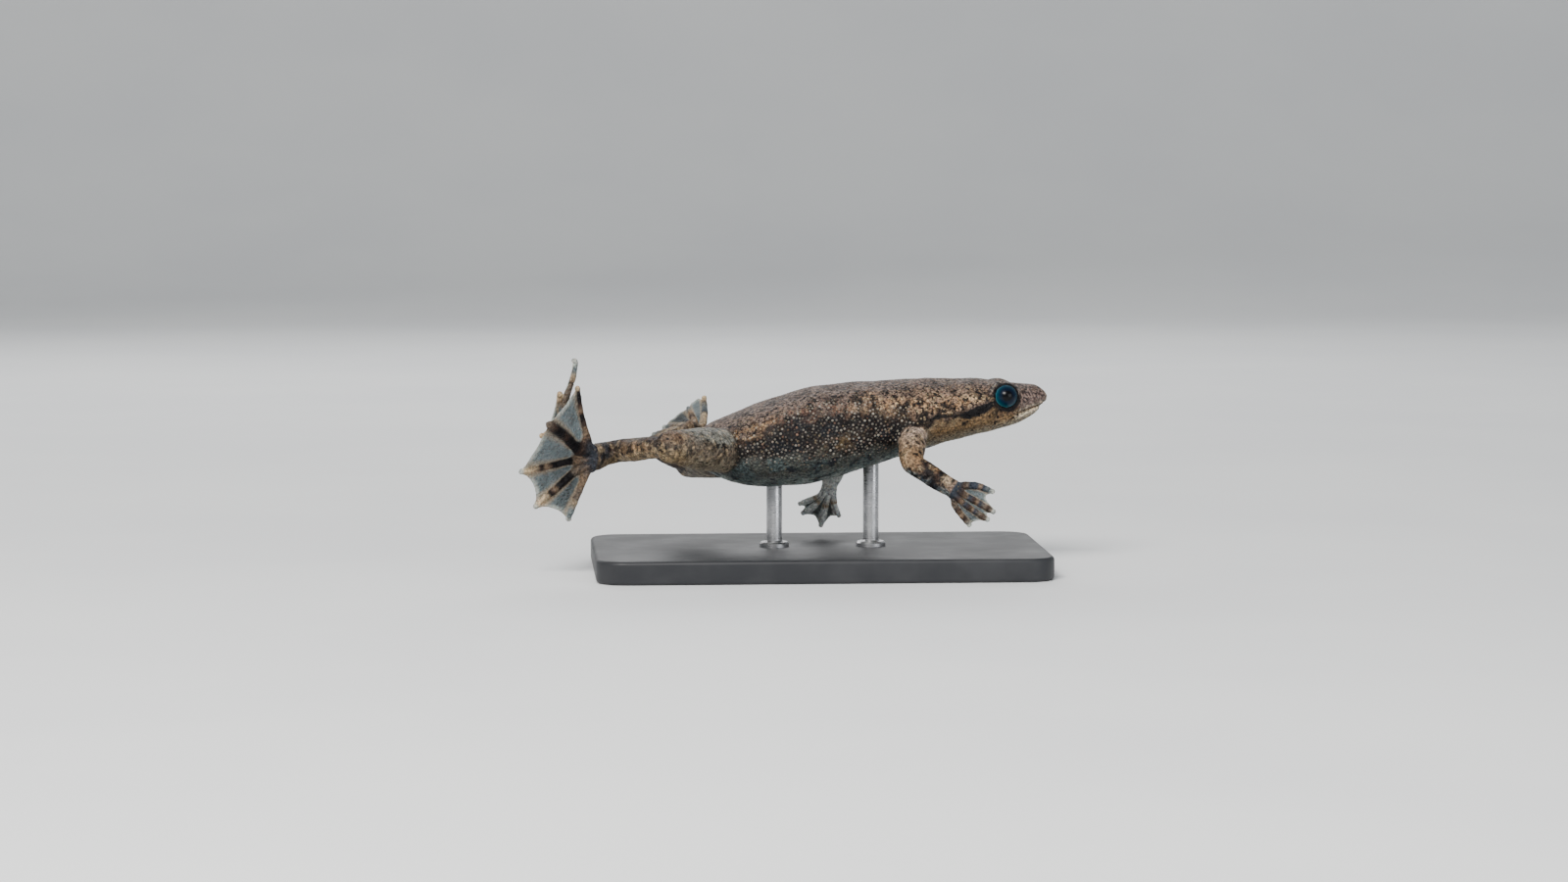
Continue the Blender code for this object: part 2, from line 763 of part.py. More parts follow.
def make_limb(names, limb, cutter, digits, webs, skin, web_finish):
    """Make the lengths of a limb between its joints, and the webbed hand or foot at its end."""
    first_tip = Vector(digits[0][0][-1])
    last_tip = Vector(digits[-1][0][-1])
    frames = limb_frames(limb, (last_tip - first_tip).normalized())
    for number, name in enumerate(names[:-1]):
        piece = limb_length(name, frames, number, number + 1)
        if number == 0:
            combine(piece, [cutter], "DIFFERENCE")
        dress(piece, skin)
    end = fan(names[-1], shifted(frames[-1], GAP / 2.0), digits, webs)
    dress(end, web_finish)


def body_clearance():
    """Return the whole body grown by the gap, to cut what grows from it."""
    return body_length("body_clearance", BODY_SECTIONS[0][0] + 0.02, BODY_SECTIONS[-1][0] - 0.02, GAP)


def knee_clearance(frames):
    """Return a thigh and its knee grown by the gap, to cut the shank that grows from it."""
    grown = [(*frame[:5], frame[5] + GAP, frame[6] + GAP) for frame in frames]
    grown[-1] = shifted(grown[-1], GAP)
    return loft("knee_clearance", [limb_ring(frame) for frame in grown])


def make_stand(base_finish, rod_finish):
    """Make the flat base and the two rods that reach up to the belly."""
    surface = bmesh.new()
    bmesh.ops.create_cube(surface, size=1.0)
    bmesh.ops.scale(surface, verts=surface.verts, vec=Vector((BASE_LENGTH, BASE_WIDTH, BASE_THICKNESS)) * MM)
    bmesh.ops.translate(surface, verts=surface.verts, vec=(0.0, 0.0, BASE_THICKNESS * MM / 2.0))
    upright = [edge for edge in surface.edges if abs(edge.verts[0].co.z - edge.verts[1].co.z) > 1e-6]
    bmesh.ops.bevel(
        surface, geom=upright, offset=BASE_CORNER_RADIUS * MM, segments=6, profile=0.5, affect="EDGES"
    )
    mesh = bpy.data.meshes.new("stand_base")
    surface.to_mesh(mesh)
    surface.free()
    base = bpy.data.objects.new("stand_base", mesh)
    bpy.context.scene.collection.objects.link(base)
    dress(base, base_finish)
    edge = base.modifiers.new("edge", "BEVEL")
    edge.width = BASE_EDGE_BEVEL * MM
    edge.segments = 2
    edge.angle_limit = math.radians(60)
    for name, x in ROD_PLACES.items():
        bottom = BASE_THICKNESS + GAP
        top = body_section(x)[3]
        path = [Vector((x, 0.0, bottom)), Vector((x, 0.0, (bottom + top) / 2.0)), Vector((x, 0.0, top))]
        rod = rod_solid(name, path)
        shadow = body_length("belly_clearance", x - 3.0, x + 3.0, GAP)
        combine(rod, [shadow], "DIFFERENCE")
        dress(rod, rod_finish)


def rod_solid(name, path):
    """Make an upright round rod through the points of a path."""
    sides = 20
    rings = []
    for point in path:
        ring = []
        for step in range(sides):
            angle = 2.0 * math.pi * step / sides
            ring.append(point + Vector((ROD_RADIUS * math.cos(angle), ROD_RADIUS * math.sin(angle), 0.0)))
        rings.append(ring)
    return loft(name, rings)


def main():
    """Build every part of the frog and its stand."""
    clear_scene()
    back = finish("skin_back", SKIN_BACK)
    limb_skin = finish("skin_limb", SKIN_LIMB)
    web = finish("web", WEB_FINISH)
    eye_finish = finish("eye", EYE_FINISH)
    make_head(back)
    torso = body_length("torso", WAIST_X + GAP / 2.0, NECK_X - GAP / 2.0)
    dress(torso, back)
    pelvis = body_length("pelvis", BODY_SECTIONS[0][0] + 0.02, WAIST_X - GAP / 2.0)
    dress(pelvis, back)
    for side, name in ((-1, "eye_right"), (1, "eye_left")):
        eye = ball(name, mirrored(EYE_CENTRE, side), [EYE_RADIUS] * 3, 16, 10)
        dress(eye, eye_finish)
    fingers = {"right": (RIGHT_FINGERS, RIGHT_FINGER_WEBS), "left": (LEFT_FINGERS, LEFT_FINGER_WEBS)}
    toes = {"right": (RIGHT_TOES, RIGHT_TOE_WEBS), "left": (LEFT_TOES, LEFT_TOE_WEBS)}
    arms = {"right": RIGHT_ARM, "left": LEFT_ARM}
    legs = {"right": (RIGHT_THIGH, RIGHT_SHANK), "left": (LEFT_THIGH, LEFT_SHANK)}
    for side in ("right", "left"):
        arm = [f"{length}_{side}" for length in ("upper_arm", "forearm", "hand")]
        make_limb(arm, arms[side], body_clearance(), *fingers[side], limb_skin, web)
        thigh, shank = legs[side]
        knee = knee_clearance(make_thigh(f"thigh_{side}", thigh, limb_skin))
        leg = [f"{length}_{side}" for length in ("shank", "tarsus", "foot")]
        make_limb(leg, shank, knee, *toes[side], limb_skin, web)
    make_stand(finish("stand_base", BASE_FINISH), finish("stand_rod", ROD_FINISH, 1.0))
    for thing in bpy.data.objects:
        if thing.type == "MESH":
            thing.data.shade_smooth()
            thing.data.set_sharp_from_angle(angle=math.radians(40))


main()
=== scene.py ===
"""Looks of a dwarf clawed frog: a still, life-size display model, swimming, on a plain stand.

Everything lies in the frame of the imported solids: metres, the snout towards +X, the frog's right
side towards -Y, +Z up. The sizes and places below are millimetres on the real animal, and MM turns
them into metres where a mesh is laid. One skin, thin webs included, stands for every node of flesh.
"""

import logging
import math
from dataclasses import dataclass, field, replace
from enum import Enum
from typing import Sequence

import bpy
import numpy as np
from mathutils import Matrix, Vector, kdtree, noise


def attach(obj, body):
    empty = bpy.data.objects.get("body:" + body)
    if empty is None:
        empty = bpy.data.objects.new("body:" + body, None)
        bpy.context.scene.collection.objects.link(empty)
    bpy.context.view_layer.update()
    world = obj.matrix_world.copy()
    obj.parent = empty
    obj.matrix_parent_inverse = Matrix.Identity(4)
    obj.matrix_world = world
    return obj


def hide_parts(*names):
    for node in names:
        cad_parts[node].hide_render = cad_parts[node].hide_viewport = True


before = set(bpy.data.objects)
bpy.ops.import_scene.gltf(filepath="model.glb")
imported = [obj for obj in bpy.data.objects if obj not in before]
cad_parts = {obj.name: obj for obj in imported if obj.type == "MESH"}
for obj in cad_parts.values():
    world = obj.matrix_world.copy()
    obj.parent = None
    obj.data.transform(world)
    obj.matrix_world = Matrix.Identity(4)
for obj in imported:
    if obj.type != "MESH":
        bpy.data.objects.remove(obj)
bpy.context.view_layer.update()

MM = 0.001
UP = Vector((0.0, 0.0, 1.0))
MERGE = 2e-6
BODY = "root"
PAINT_DEPTH = 0.54
FAN_CODE_STEP = 10
GRAIN_GAIN = 1.6
log = logging.getLogger("frog")

Array = np.ndarray
Piece = bpy.types.Object
Socket = bpy.types.NodeSocket
Node = bpy.types.Node
NodeTree = bpy.types.NodeTree
Material = bpy.types.Material
Colour = tuple[float, float, float, float]
Place = tuple[float, float, float]
Path = tuple[Place, ...]
Rows = tuple[tuple[float, ...], ...]


class Side(Enum):
    """A side of the body, as the sign of Y there."""

    RIGHT = -1
    LEFT = 1


class Tone(Enum):
    """A painter's tone of the frog's skin, as red, green and blue from 0 to 255."""

    BACK = (126, 110, 101)
    BACK_SHADE = (88, 76, 70)
    GOLD = (164, 132, 98)
    COPPER = (124, 84, 66)
    CREAM = (226, 200, 160)
    BEAD = (190, 182, 168)
    ROSE_BEAD = (170, 134, 112)
    FLANK = (28, 24, 25)
    FLANK_BLUE = (26, 34, 44)
    OLIVE = (140, 116, 74)
    BELLY = (94, 98, 94)
    # Partly the pale underside, partly painted light: made paler still to stand in for light reaching the
    # belly's lower edge.
    BELLY_LOW = (172, 186, 182)
    BELLY_TEAL = (84, 104, 108)
    BELLY_BLOTCH = (40, 46, 56)
    THROAT = (142, 116, 84)
    THROAT_LOW = (158, 148, 124)
    SNOUT = (128, 112, 106)
    LIP = (238, 226, 198)
    CHEEK = (92, 72, 58)
    INK = (18, 15, 18)
    ARM = (192, 172, 156)
    ELBOW = (158, 132, 102)
    FOREARM = (142, 122, 108)
    THIGH = (146, 148, 140)
    THIGH_MIDDLE = (120, 109, 95)
    THIGH_LOW = (154, 144, 124)
    SHANK = (126, 102, 82)
    SHANK_LOW = (168, 146, 112)
    ANKLE = (64, 68, 76)
    TAN = (138, 117, 96)
    BARK = (72, 56, 48)
    SAND = (186, 166, 138)
    PEARL = (206, 212, 204)
    # Painted light: near white, used on the far arm and hand to stand in for the light behind them that shows
    # through their thin skin.
    MILK = (246, 252, 250)
    SLATE = (118, 128, 130)
    FILM = (132, 144, 147)
    MIST = (146, 156, 154)
    DUSK = (62, 70, 82)
    TAUPE = (118, 106, 94)

    def linear(self) -> Array:
        """Return the tone as linear light from 0 to 1."""
        share = np.array(self.value) / 255.0
        return np.where(share <= 0.04045, share / 12.92, ((share + 0.055) / 1.055) ** 2.4) * PAINT_DEPTH

    def colour(self) -> Colour:
        """Return the tone as a node socket takes it."""
        red, green, blue = self.linear()
        return (float(red), float(green), float(blue), 1.0)


def ease(start: Array | float, end: Array | float, value: Array | float) -> Array:
    """Return 0 at start and before it, 1 at end and past it, and a smooth step between them."""
    share = np.clip((np.asarray(value, float) - start) / (end - start), 0.0, 1.0)
    return share * share * (3.0 - 2.0 * share)


def hump(middle: float, half: float, value: Array) -> Array:
    """Return a soft hump of height 1 round a middle value, near 0 past twice its half width."""
    return np.exp(-(((value - middle) / half) ** 2))


def curve(knots: Sequence[float], values: Sequence, where: Array | float) -> Array:
    """Read the smooth curve through values at knots.

    Args:
        knots: Where the values stand, in rising order.
        values: A number or a place for each knot.
        where: Where the curve is read.

    Returns:
        The values read, one for each entry of where.
    """
    knots = np.asarray(knots, float)
    values = np.asarray(values, float)
    where = np.asarray(where, float)
    last = len(knots) - 1
    low = np.clip(np.searchsorted(knots, where, side="right") - 1, 0, last - 1)
    high = low + 1
    before = np.maximum(low - 1, 0)
    after = np.minimum(high + 1, last)
    span = knots[high] - knots[low]
    share = (where - knots[low]) / span
    width = knots[high] - knots[before]
    reach = knots[after] - knots[low]
    if values.ndim > 1:
        span, share, width, reach = (part[..., None] for part in (span, share, width, reach))
    slope_low = (values[high] - values[before]) / width
    slope_high = (values[after] - values[low]) / reach
    square = share * share
    cube = square * share
    rise_low = slope_low * span * (cube - 2 * square + share)
    rise_high = slope_high * span * (cube - square)
    near_low = values[low] * (2 * cube - 3 * square + 1)
    return near_low + rise_low + values[high] * (3 * square - 2 * cube) + rise_high


def mix(first: Array, second: Array | float, share: Array) -> Array:
    """Return first where share is 0, second where it is 1, and a blend of both between."""
    return first * (1.0 - share) + second * share


def read_rows(rows: Rows, x: Array) -> list[Array]:
    """Return each column of rows after the first, read in straight lines at places in the first."""
    table = np.array(rows)
    return [np.interp(x, table[:, 0], values) for values in table[:, 1:].T]


def read_tones(marks: Sequence[float], tones: Sequence[Tone], where: Array) -> Array:
    """Return the tones between marks as linear light, one row for each entry of where."""
    table = np.array([tone.linear() for tone in tones])
    return np.stack([np.interp(where, marks, part) for part in table.T], axis=1)


def grain(points: Array, size: float, shift: float = 0.0) -> Array:
    """Return soft noise from about -1 to 1 at places in millimetres, with grains of one size."""
    scaled = points / size + shift
    return np.array([noise.noise((x, y, z)) for x, y, z in scaled.tolist()]) * GRAIN_GAIN


def unit(vectors: Array) -> Array:
    """Return vectors made one long."""
    length = np.linalg.norm(vectors, axis=-1, keepdims=True)
    return vectors / np.maximum(length, 1e-9)


def norms(vectors: Array) -> Array:
    """Return the lengths of rows of vectors."""
    return np.linalg.norm(vectors, axis=1)


def deselect() -> None:
    """Select nothing."""
    bpy.ops.object.select_all(action="DESELECT")


def enter_edit() -> None:
    """Go to edit mode."""
    bpy.ops.object.mode_set(mode="EDIT")


def leave_edit() -> None:
    """Go back to object mode."""
    bpy.ops.object.mode_set(mode="OBJECT")


def select_only(*things: Piece) -> None:
    """Select the given objects alone, with the first one active."""
    deselect()
    for thing in things:
        thing.select_set(True)
    bpy.context.view_layer.objects.active = things[0]


def read_items(items: Sequence, name: str, width: int = 1, kind: type = float) -> Array:
    """Return what each item of a mesh holds under a name, as a row where it is more than one number."""
    flat = np.empty(len(items) * width, kind)
    items.foreach_get(name, flat)
    return flat.reshape(-1, width) if width > 1 else flat


def laid_grid(name: str, points: Array, **numbers: Array) -> Piece:
    """Add a grid and lay its points on a table of places.

    Args:
        name: The piece's name.
        points: Places in millimetres, as rows x columns x 3.
        numbers: Tables of rows x columns, each stored on the points under its name.

    Returns:
        The piece, at the origin, with its place in its mesh.
    """
    rows, columns = points.shape[:2]
    deselect()
    bpy.ops.mesh.primitive_grid_add(x_subdivisions=columns - 1, y_subdivisions=rows - 1, size=2.0)
    piece = bpy.context.object
    piece.name = name
    piece.data.name = name
    flat = read_items(piece.data.vertices, "co", 3)
    column = np.rint((flat[:, 0] + 1.0) / 2.0 * (columns - 1)).astype(int)
    row = np.rint((flat[:, 1] + 1.0) / 2.0 * (rows - 1)).astype(int)
    piece.data.vertices.foreach_set("co", (points[row, column] * MM).ravel())
    for number, table in numbers.items():
        write_number(piece, number, table[row, column])
    return piece


def weld(piece: Piece) -> None:
    """Merge the points of a piece that meet, and turn its faces outwards."""
    select_only(piece)
    enter_edit()
    bpy.ops.mesh.select_all(action="SELECT")
    bpy.ops.mesh.remove_doubles(threshold=MERGE)
    bpy.ops.mesh.normals_make_consistent(inside=False)
    leave_edit()


def apply_modifier(piece: Piece, name: str, kind: str, **settings: object) -> None:
    """Add a modifier with its settings and apply it."""
    added = piece.modifiers.new(name, kind)
    for setting, value in settings.items():
        setattr(added, setting, value)
    select_only(piece)
    bpy.ops.object.modifier_apply(modifier=name)


def join(name: str, pieces: Sequence[Piece]) -> Piece:
    """Join pieces into the first of them."""
    select_only(*pieces)
    if len(pieces) > 1:
        bpy.ops.object.join()
    pieces[0].name = name
    return pieces[0]


def read_points(piece: Piece) -> Array:
    """Return the places of a piece's points in millimetres."""
    return read_items(piece.data.vertices, "co", 3) / MM


def write_points(piece: Piece, points: Array) -> None:
    """Move a piece's points to places in millimetres."""
    piece.data.vertices.foreach_set("co", (points * MM).ravel())
    piece.data.update()


def read_normals(piece: Piece) -> Array:
    """Return the normals at a piece's points."""
    return read_items(piece.data.vertex_normals, "vector", 3)


def write_number(piece: Piece, name: str, values: Array) -> None:
    """Store one number for each point of a piece."""
    layer = piece.data.attributes.get(name) or piece.data.attributes.new(name, "FLOAT", "POINT")
    layer.data.foreach_set("value", np.asarray(values, np.float32))


def read_number(piece: Piece, name: str) -> Array:
    """Return the number stored for each point of a piece."""
    return read_items(piece.data.attributes[name].data, "value")


def write_colour(piece: Piece, name: str, values: Array) -> None:
    """Store one colour for each point of a piece."""
    layer = piece.data.attributes.get(name) or piece.data.attributes.new(name, "FLOAT_COLOR", "POINT")
    full = np.ones((len(values), 4), np.float32)
    full[:, : values.shape[1]] = values
    layer.data.foreach_set("color", full.ravel())


def smooth_shade(piece: Piece, angle: float | None = None) -> None:
    """Shade a piece smooth, all over or up to an angle."""
    select_only(piece)
    if angle is None:
        bpy.ops.object.shade_smooth()
    else:
        bpy.ops.object.shade_smooth_by_angle(angle=angle)


@dataclass
class Trunk:
    """The head and body: a row of cross-sections from the rump to the snout."""

    sections: Rows = (
        (-13.3, 14.1, 11.2, 2.3), (-11.5, 14.9, 10.2, 3.3), (-10.0, 15.5, 9.5, 4.2), (-8.5, 16.1, 9.0, 5.2),
        (-6.5, 16.95, 8.7, 6.1), (-3.5, 17.95, 8.7, 6.8), (-0.5, 18.75, 9.0, 6.9), (3.5, 19.15, 10.1, 6.4),
        (7.5, 19.35, 11.35, 5.7), (10.5, 19.55, 12.2, 5.15), (13.0, 19.5, 13.0, 4.8),
        (15.5, 19.5, 13.65, 4.6), (17.5, 19.38, 14.12, 4.15), (18.8, 19.18, 14.48, 3.65),
        (20.3, 19.02, 14.9, 2.95), (21.5, 18.95, 15.5, 2.35), (22.5, 18.84, 16.15, 1.75),
        (23.5, 18.5, 16.95, 1.2),
    )
    sides: int = 96
    squareness: float = 2.15
    hip_widest_at: float = 0.5
    jaw_widest_at: float = 0.42
    neck: float = 14.2
    snout_rounds_from: float = 21.9
    rump_rounds_from: float = -10.6
    ring_step: float = 0.2
    end_step: float = 0.05

    def outline(self, x: Array) -> tuple[Array, Array, Array, Array]:
        """Return the top, the underside, the half width and the widest height at places along X."""
        table = np.array(self.sections)
        x = np.clip(np.asarray(x, float), table[0, 0], table[-1, 0])
        top, under, width = (curve(table[:, 0], table[:, column], x) for column in (1, 2, 3))
        jaw = ease(self.neck, self.neck + 4.0, x)
        widest_at = self.hip_widest_at + (self.jaw_widest_at - self.hip_widest_at) * jaw
        widest = under + (top - under) * widest_at
        snout = (x - self.snout_rounds_from) / (table[-1, 0] - self.snout_rounds_from)
        rump = (self.rump_rounds_from - x) / (self.rump_rounds_from - table[0, 0])
        reach = np.clip(np.maximum(snout, rump), 0.0, 1.0)
        close = np.sqrt(1.0 - reach**2.4)
        middle = (top + under) / 2.0
        widest = middle + (widest - middle) * close
        return widest + (top - widest) * close, widest - (widest - under) * close, width * close, widest

    def fill(self, points: Array) -> Array:
        """Return how far out places lie: 1 on the body's surface, less inside it."""
        top, under, width, widest = self.outline(points[:, 0])
        height = np.where(points[:, 2] > widest, top - widest, widest - under)
        across = np.abs(points[:, 1]) / np.maximum(width, 0.2)
        up = np.abs(points[:, 2] - widest) / np.maximum(height, 0.2)
        past = np.maximum(self.sections[0][0] - points[:, 0], points[:, 0] - self.sections[-1][0])
        oval = (across**self.squareness + up**self.squareness) ** (1.0 / self.squareness)
        return oval + np.maximum(past, 0.0)

    def build(self) -> Piece:
        """Lay the body's rings and close its ends."""
        first, last = self.sections[0][0], self.sections[-1][0]
        inner = np.arange(first + 0.6, last - 0.6, self.ring_step)
        ends = np.arange(0.0, 0.6, self.end_step)
        places = np.unique(np.concatenate((first + ends**1.6, inner, last - ends**1.6)))
        top, under, width, widest = self.outline(places)
        angle = np.linspace(0.0, 2.0 * math.pi, self.sides + 1)
        angle[-1] = 0.0
        power = 2.0 / self.squareness
        across = np.sign(np.cos(angle)) * np.abs(np.cos(angle)) ** power
        up = np.sign(np.sin(angle)) * np.abs(np.sin(angle)) ** power
        height = np.where(np.sin(angle)[None, :] > 0, (top - widest)[:, None], (widest - under)[:, None])
        lengthwise = np.repeat(places[:, None], self.sides + 1, axis=1)
        sideways = width[:, None] * across[None, :]
        rings = np.stack((lengthwise, sideways, widest[:, None] + height * up[None, :]), axis=-1)
        rings[0] = rings[0].mean(axis=0)
        rings[-1] = rings[-1].mean(axis=0)
        piece = laid_grid("trunk", rings)
        weld(piece)
        return piece


@dataclass
class Ring:
    """One oval ring across a limb: its place along the joints, its axes and its half sizes."""

    mark: float
    point: Vector
    heading: Vector
    side: Vector
    normal: Vector
    height: float
    depth: float

    def moved(self, distance: float, narrow: float = 1.0) -> "Ring":
        """Return the ring moved along its heading and narrowed to a share of its size."""
        point = self.point + self.heading * distance
        return replace(self, point=point, height=self.height * narrow, depth=self.depth * narrow)

    def at(self, turn: float) -> Vector:
        """Return the place on the ring at an angle from its long axis."""
        across = self.side * (self.height * math.cos(turn))
        return self.point + across + self.normal * (self.depth * math.sin(turn))


@dataclass
class Limb:
    """A limb without its hand or foot: joints, half sizes there and midway, and bends."""

    name: str
    joints: Path
    joint_sizes: Rows
    muscle_sizes: Rows
    bends: tuple[float, ...]
    round_end: bool = False
    sides: int = 48
    step: float = 0.3
    bend_steps: float = 8.0
    past_the_cut: float = 0.6
    rings: list[Ring] = field(default_factory=list)

    def path(self) -> tuple[list[Vector], list[float]]:
        """Return points along straight bones with round bends, and their joint numbers."""
        corners = [Vector(joint) for joint in self.joints]
        points, marks = [corners[0]], [0.0]
        leave, leave_mark = corners[0], 0.0
        for number in range(1, len(corners)):
            corner = corners[number]
            heading = (corner - corners[number - 1]).normalized()
            arc, arc_marks = [corner], [float(number)]
            if number < len(corners) - 1:
                onward = (corners[number + 1] - corner).normalized()
                turn = heading.angle(onward)
                radius = self.bends[number - 1]
                inward = (onward - heading * heading.dot(onward)).normalized()
                start = corner - heading * radius * math.tan(turn / 2.0)
                steps = max(4, round(turn * self.bend_steps))
                shares = [step / steps for step in range(steps + 1)]
                arc = [
                    start + heading * radius * math.sin(bent) + inward * radius * (1 - math.cos(bent))
                    for bent in (turn * share for share in shares)
                ]
                arc_marks = [number + (share - 0.5) * 0.3 for share in shares]
            count = max(2, round((arc[0] - leave).length / self.step))
            for step in range(1, count):
                points.append(leave.lerp(arc[0], step / count))
                marks.append(leave_mark + (arc_marks[0] - leave_mark) * step / count)
            points.extend(arc)
            marks.extend(arc_marks)
            leave, leave_mark = arc[-1], number + 0.15
        return points, marks

    def sizes(self, mark: float) -> tuple[float, float]:
        """Return the half height and half depth at a joint number."""
        knots: list[float] = []
        pairs: list[tuple[float, float]] = []
        for number, pair in enumerate(self.joint_sizes):
            knots.append(float(number))
            pairs.append(pair)
            if number < len(self.muscle_sizes):
                knots.append(number + 0.45)
                pairs.append(self.muscle_sizes[number])
        height, depth = curve(knots, pairs, np.array(mark))
        return float(height), float(depth)

    def find_rings(self, side_hint: Vector) -> None:
        """Work out the rings along the limb, with their long axes along a hint."""
        points, marks = self.path()
        for number, (point, mark) in enumerate(zip(points, marks)):
            before = points[max(0, number - 1)]
            after = points[min(len(points) - 1, number + 1)]
            heading = (after - before).normalized()
            side = (side_hint - heading * heading.dot(side_hint)).normalized()
            height, depth = self.sizes(mark)
            self.rings.append(Ring(mark, point, heading, side, heading.cross(side), height, depth))

    def build(self) -> Piece:
        """Lay the limb's rings, with a round knee or a short end past the wrist or ankle."""
        last = self.rings[-1]
        rings = list(self.rings)
        if self.round_end:
            turns = [0.5 * math.pi * step / 8.0 for step in range(1, 8)]
            rings += [last.moved(last.depth * math.sin(turn), math.cos(turn)) for turn in turns]
            rings.append(last.moved(last.depth, 0.0))
        else:
            rings += [last.moved(self.past_the_cut * share) for share in (0.5, 1.0)]
            rings.append(last.moved(self.past_the_cut, 0.0))
        rings.insert(0, rings[0].moved(0.0, 0.0))
        angle = np.linspace(0.0, 2.0 * math.pi, self.sides + 1)
        angle[-1] = 0.0
        piece = laid_grid(self.name, np.array([[ring.at(turn) for turn in angle] for ring in rings]))
        weld(piece)
        return piece


@dataclass
class Digit:
    """A finger or toe: its path, its radius at root and tip, and its tones along it."""

    path: Path
    root_radius: float
    tip_radius: float
    tones: tuple[tuple[float, Tone], ...]


@dataclass
class Fan:
    """A webbed hand or foot: digits raised in the surface of a thin web."""

    name: str
    code: int
    digits: tuple[Digit, ...]
    webs: tuple[float, ...]
    # Painted light and shade: one factor per web on its tone, brighter or darker as the light falls on that
    # web.
    web_light_and_shade: tuple[float, ...]
    web_tone: Tone
    palm_tone: Tone
    rim_tone: Tone = Tone.SAND
    web_half: float = 0.075
    digit_columns: tuple[float, ...] = (-1.0, -0.87, -0.6, -0.3, 0.0, 0.3, 0.6, 0.87, 1.0)
    web_columns: tuple[float, ...] = (0.1, 0.25, 0.41, 0.59, 0.75, 0.9)
    rows: int = 38
    tip_from: float = 0.93
    tip_share: float = 0.07
    palm_ends_at: float = 0.34
    across_step: int = 7
    knuckles: tuple[float, ...] = (0.46, 0.66, 0.82)
    ripple: float = 0.05

    def shares(self) -> Array:
        """Return where the rows lie from wrist to tips, closest at the tips."""
        main = np.linspace(0.0, self.tip_from, self.rows)
        tip = self.tip_from + self.tip_share * np.sin(0.5 * math.pi * np.arange(1, 9) / 8.0)
        return np.concatenate((main, tip))

    def columns(self) -> list[tuple[str, int, float]]:
        """Return the columns: a digit's number and place across it, or a web's number and share."""
        found = []
        for digit in range(len(self.digits)):
            found += [("digit", digit, across) for across in self.digit_columns]
            if digit < len(self.digits) - 1:
                found += [("web", digit, share) for share in self.web_columns]
        return found

    def lengths(self, roots: Array) -> list[float]:
        """Return each digit's length from its root at the wrist."""
        found = []
        for number, digit in enumerate(self.digits):
            corners = np.vstack((roots[number], np.array(digit.path)))
            found.append(float(norms(np.diff(corners, axis=0)).sum()))
        return found

    def spots(self, roots: Array, reach: Array) -> Array:
        """Return where every digit's middle line is at shares of its length, as digits x rows x 3."""
        found = []
        for number, digit in enumerate(self.digits):
            corners = np.vstack((roots[number], np.array(digit.path)))
            knots = np.concatenate(([0.0], np.cumsum(norms(np.diff(corners, axis=0)))))
            found.append(curve(knots, corners, reach * knots[-1]))
        return np.array(found)

    def radii(self, spots: Array, reach: Array) -> Array:
        """Return every digit's radius along it, held to the room beside it, as digits x rows."""
        gaps = np.linalg.norm(np.diff(spots, axis=0), axis=2)
        count = len(self.digits)
        found = []
        for number, digit in enumerate(self.digits):
            full = digit.root_radius + (digit.tip_radius - digit.root_radius) * reach
            for place in self.knuckles:
                full = full * (1.0 + 0.1 * hump(place, 0.03, reach))
            full = full * (1.0 + 0.22 * hump(0.975, 0.035, reach) - 0.12 * hump(0.9, 0.04, reach))
            room = np.minimum(gaps[max(0, number - 1)], gaps[min(count - 2, number)])
            found.append(np.minimum(full, room * 0.42))
        return np.array(found)

    def column_reach(self, column: tuple[str, int, float], lengths: Sequence[float]) -> float:
        """Return the share of a digit's length that a column runs to."""
        kind, number, value = column
        if kind == "digit":
            bulb = self.digits[number].tip_radius * 1.25 / lengths[number]
            return 1.0 - bulb * (1.0 - math.sqrt(max(0.0, 1.0 - value * value)))
        edge = abs(2.0 * value - 1.0) ** 2.6
        free = self.webs[number]
        return free + (0.945 - free) * edge

    def build(self, base: Ring) -> Piece:
        """Lay the fan's surface from the ring at the wrist or ankle.

        Args:
            base: The last ring of the limb, moved half a gap along its heading.

        Returns:
            The fan, open at its wrist, with its digit code, place along and web weight stored.
        """
        count = len(self.digits)
        parts = (base.point, base.side, base.heading, base.normal)
        point, side, heading, normal = (np.array(part) for part in parts)
        roots = np.array(
            [point + side * (base.height * 0.7 * (2.0 * n / (count - 1) - 1.0)) for n in range(count)]
        )
        lengths = self.lengths(roots)
        shares = self.shares()
        columns = self.columns()
        last = len(columns) - 1
        places = np.zeros((len(shares), last + 1, 3))
        halves = np.zeros((len(shares), last + 1))
        along = np.zeros((len(shares), last + 1))
        codes = np.zeros(last + 1)
        membrane = np.zeros(last + 1)
        shade = np.ones(last + 1)
        settle = ease(0.0, self.palm_ends_at * 0.8, shares)
        part = ease(0.0, self.palm_ends_at, shares)
        past = ((shares - self.tip_from) / self.tip_share).clip(0.0, 1.0)
        taper = np.sqrt(np.clip(1.0 - past**2, 0.0, 1.0))
        for index, column in enumerate(columns):
            kind, number, value = column
            reach = shares * self.column_reach(column, lengths)
            spots = self.spots(roots, reach)
            radii = self.radii(spots, reach)

            def across(n: int) -> Array:
                """Return the direction across one digit, row by row, square to its middle line."""
                apart = spots[min(count - 1, n + 1)] - spots[max(0, n - 1)]
                ahead = unit(np.gradient(spots[n], axis=0) + 1e-9)
                return unit(apart - ahead * (apart * ahead).sum(axis=1, keepdims=True))

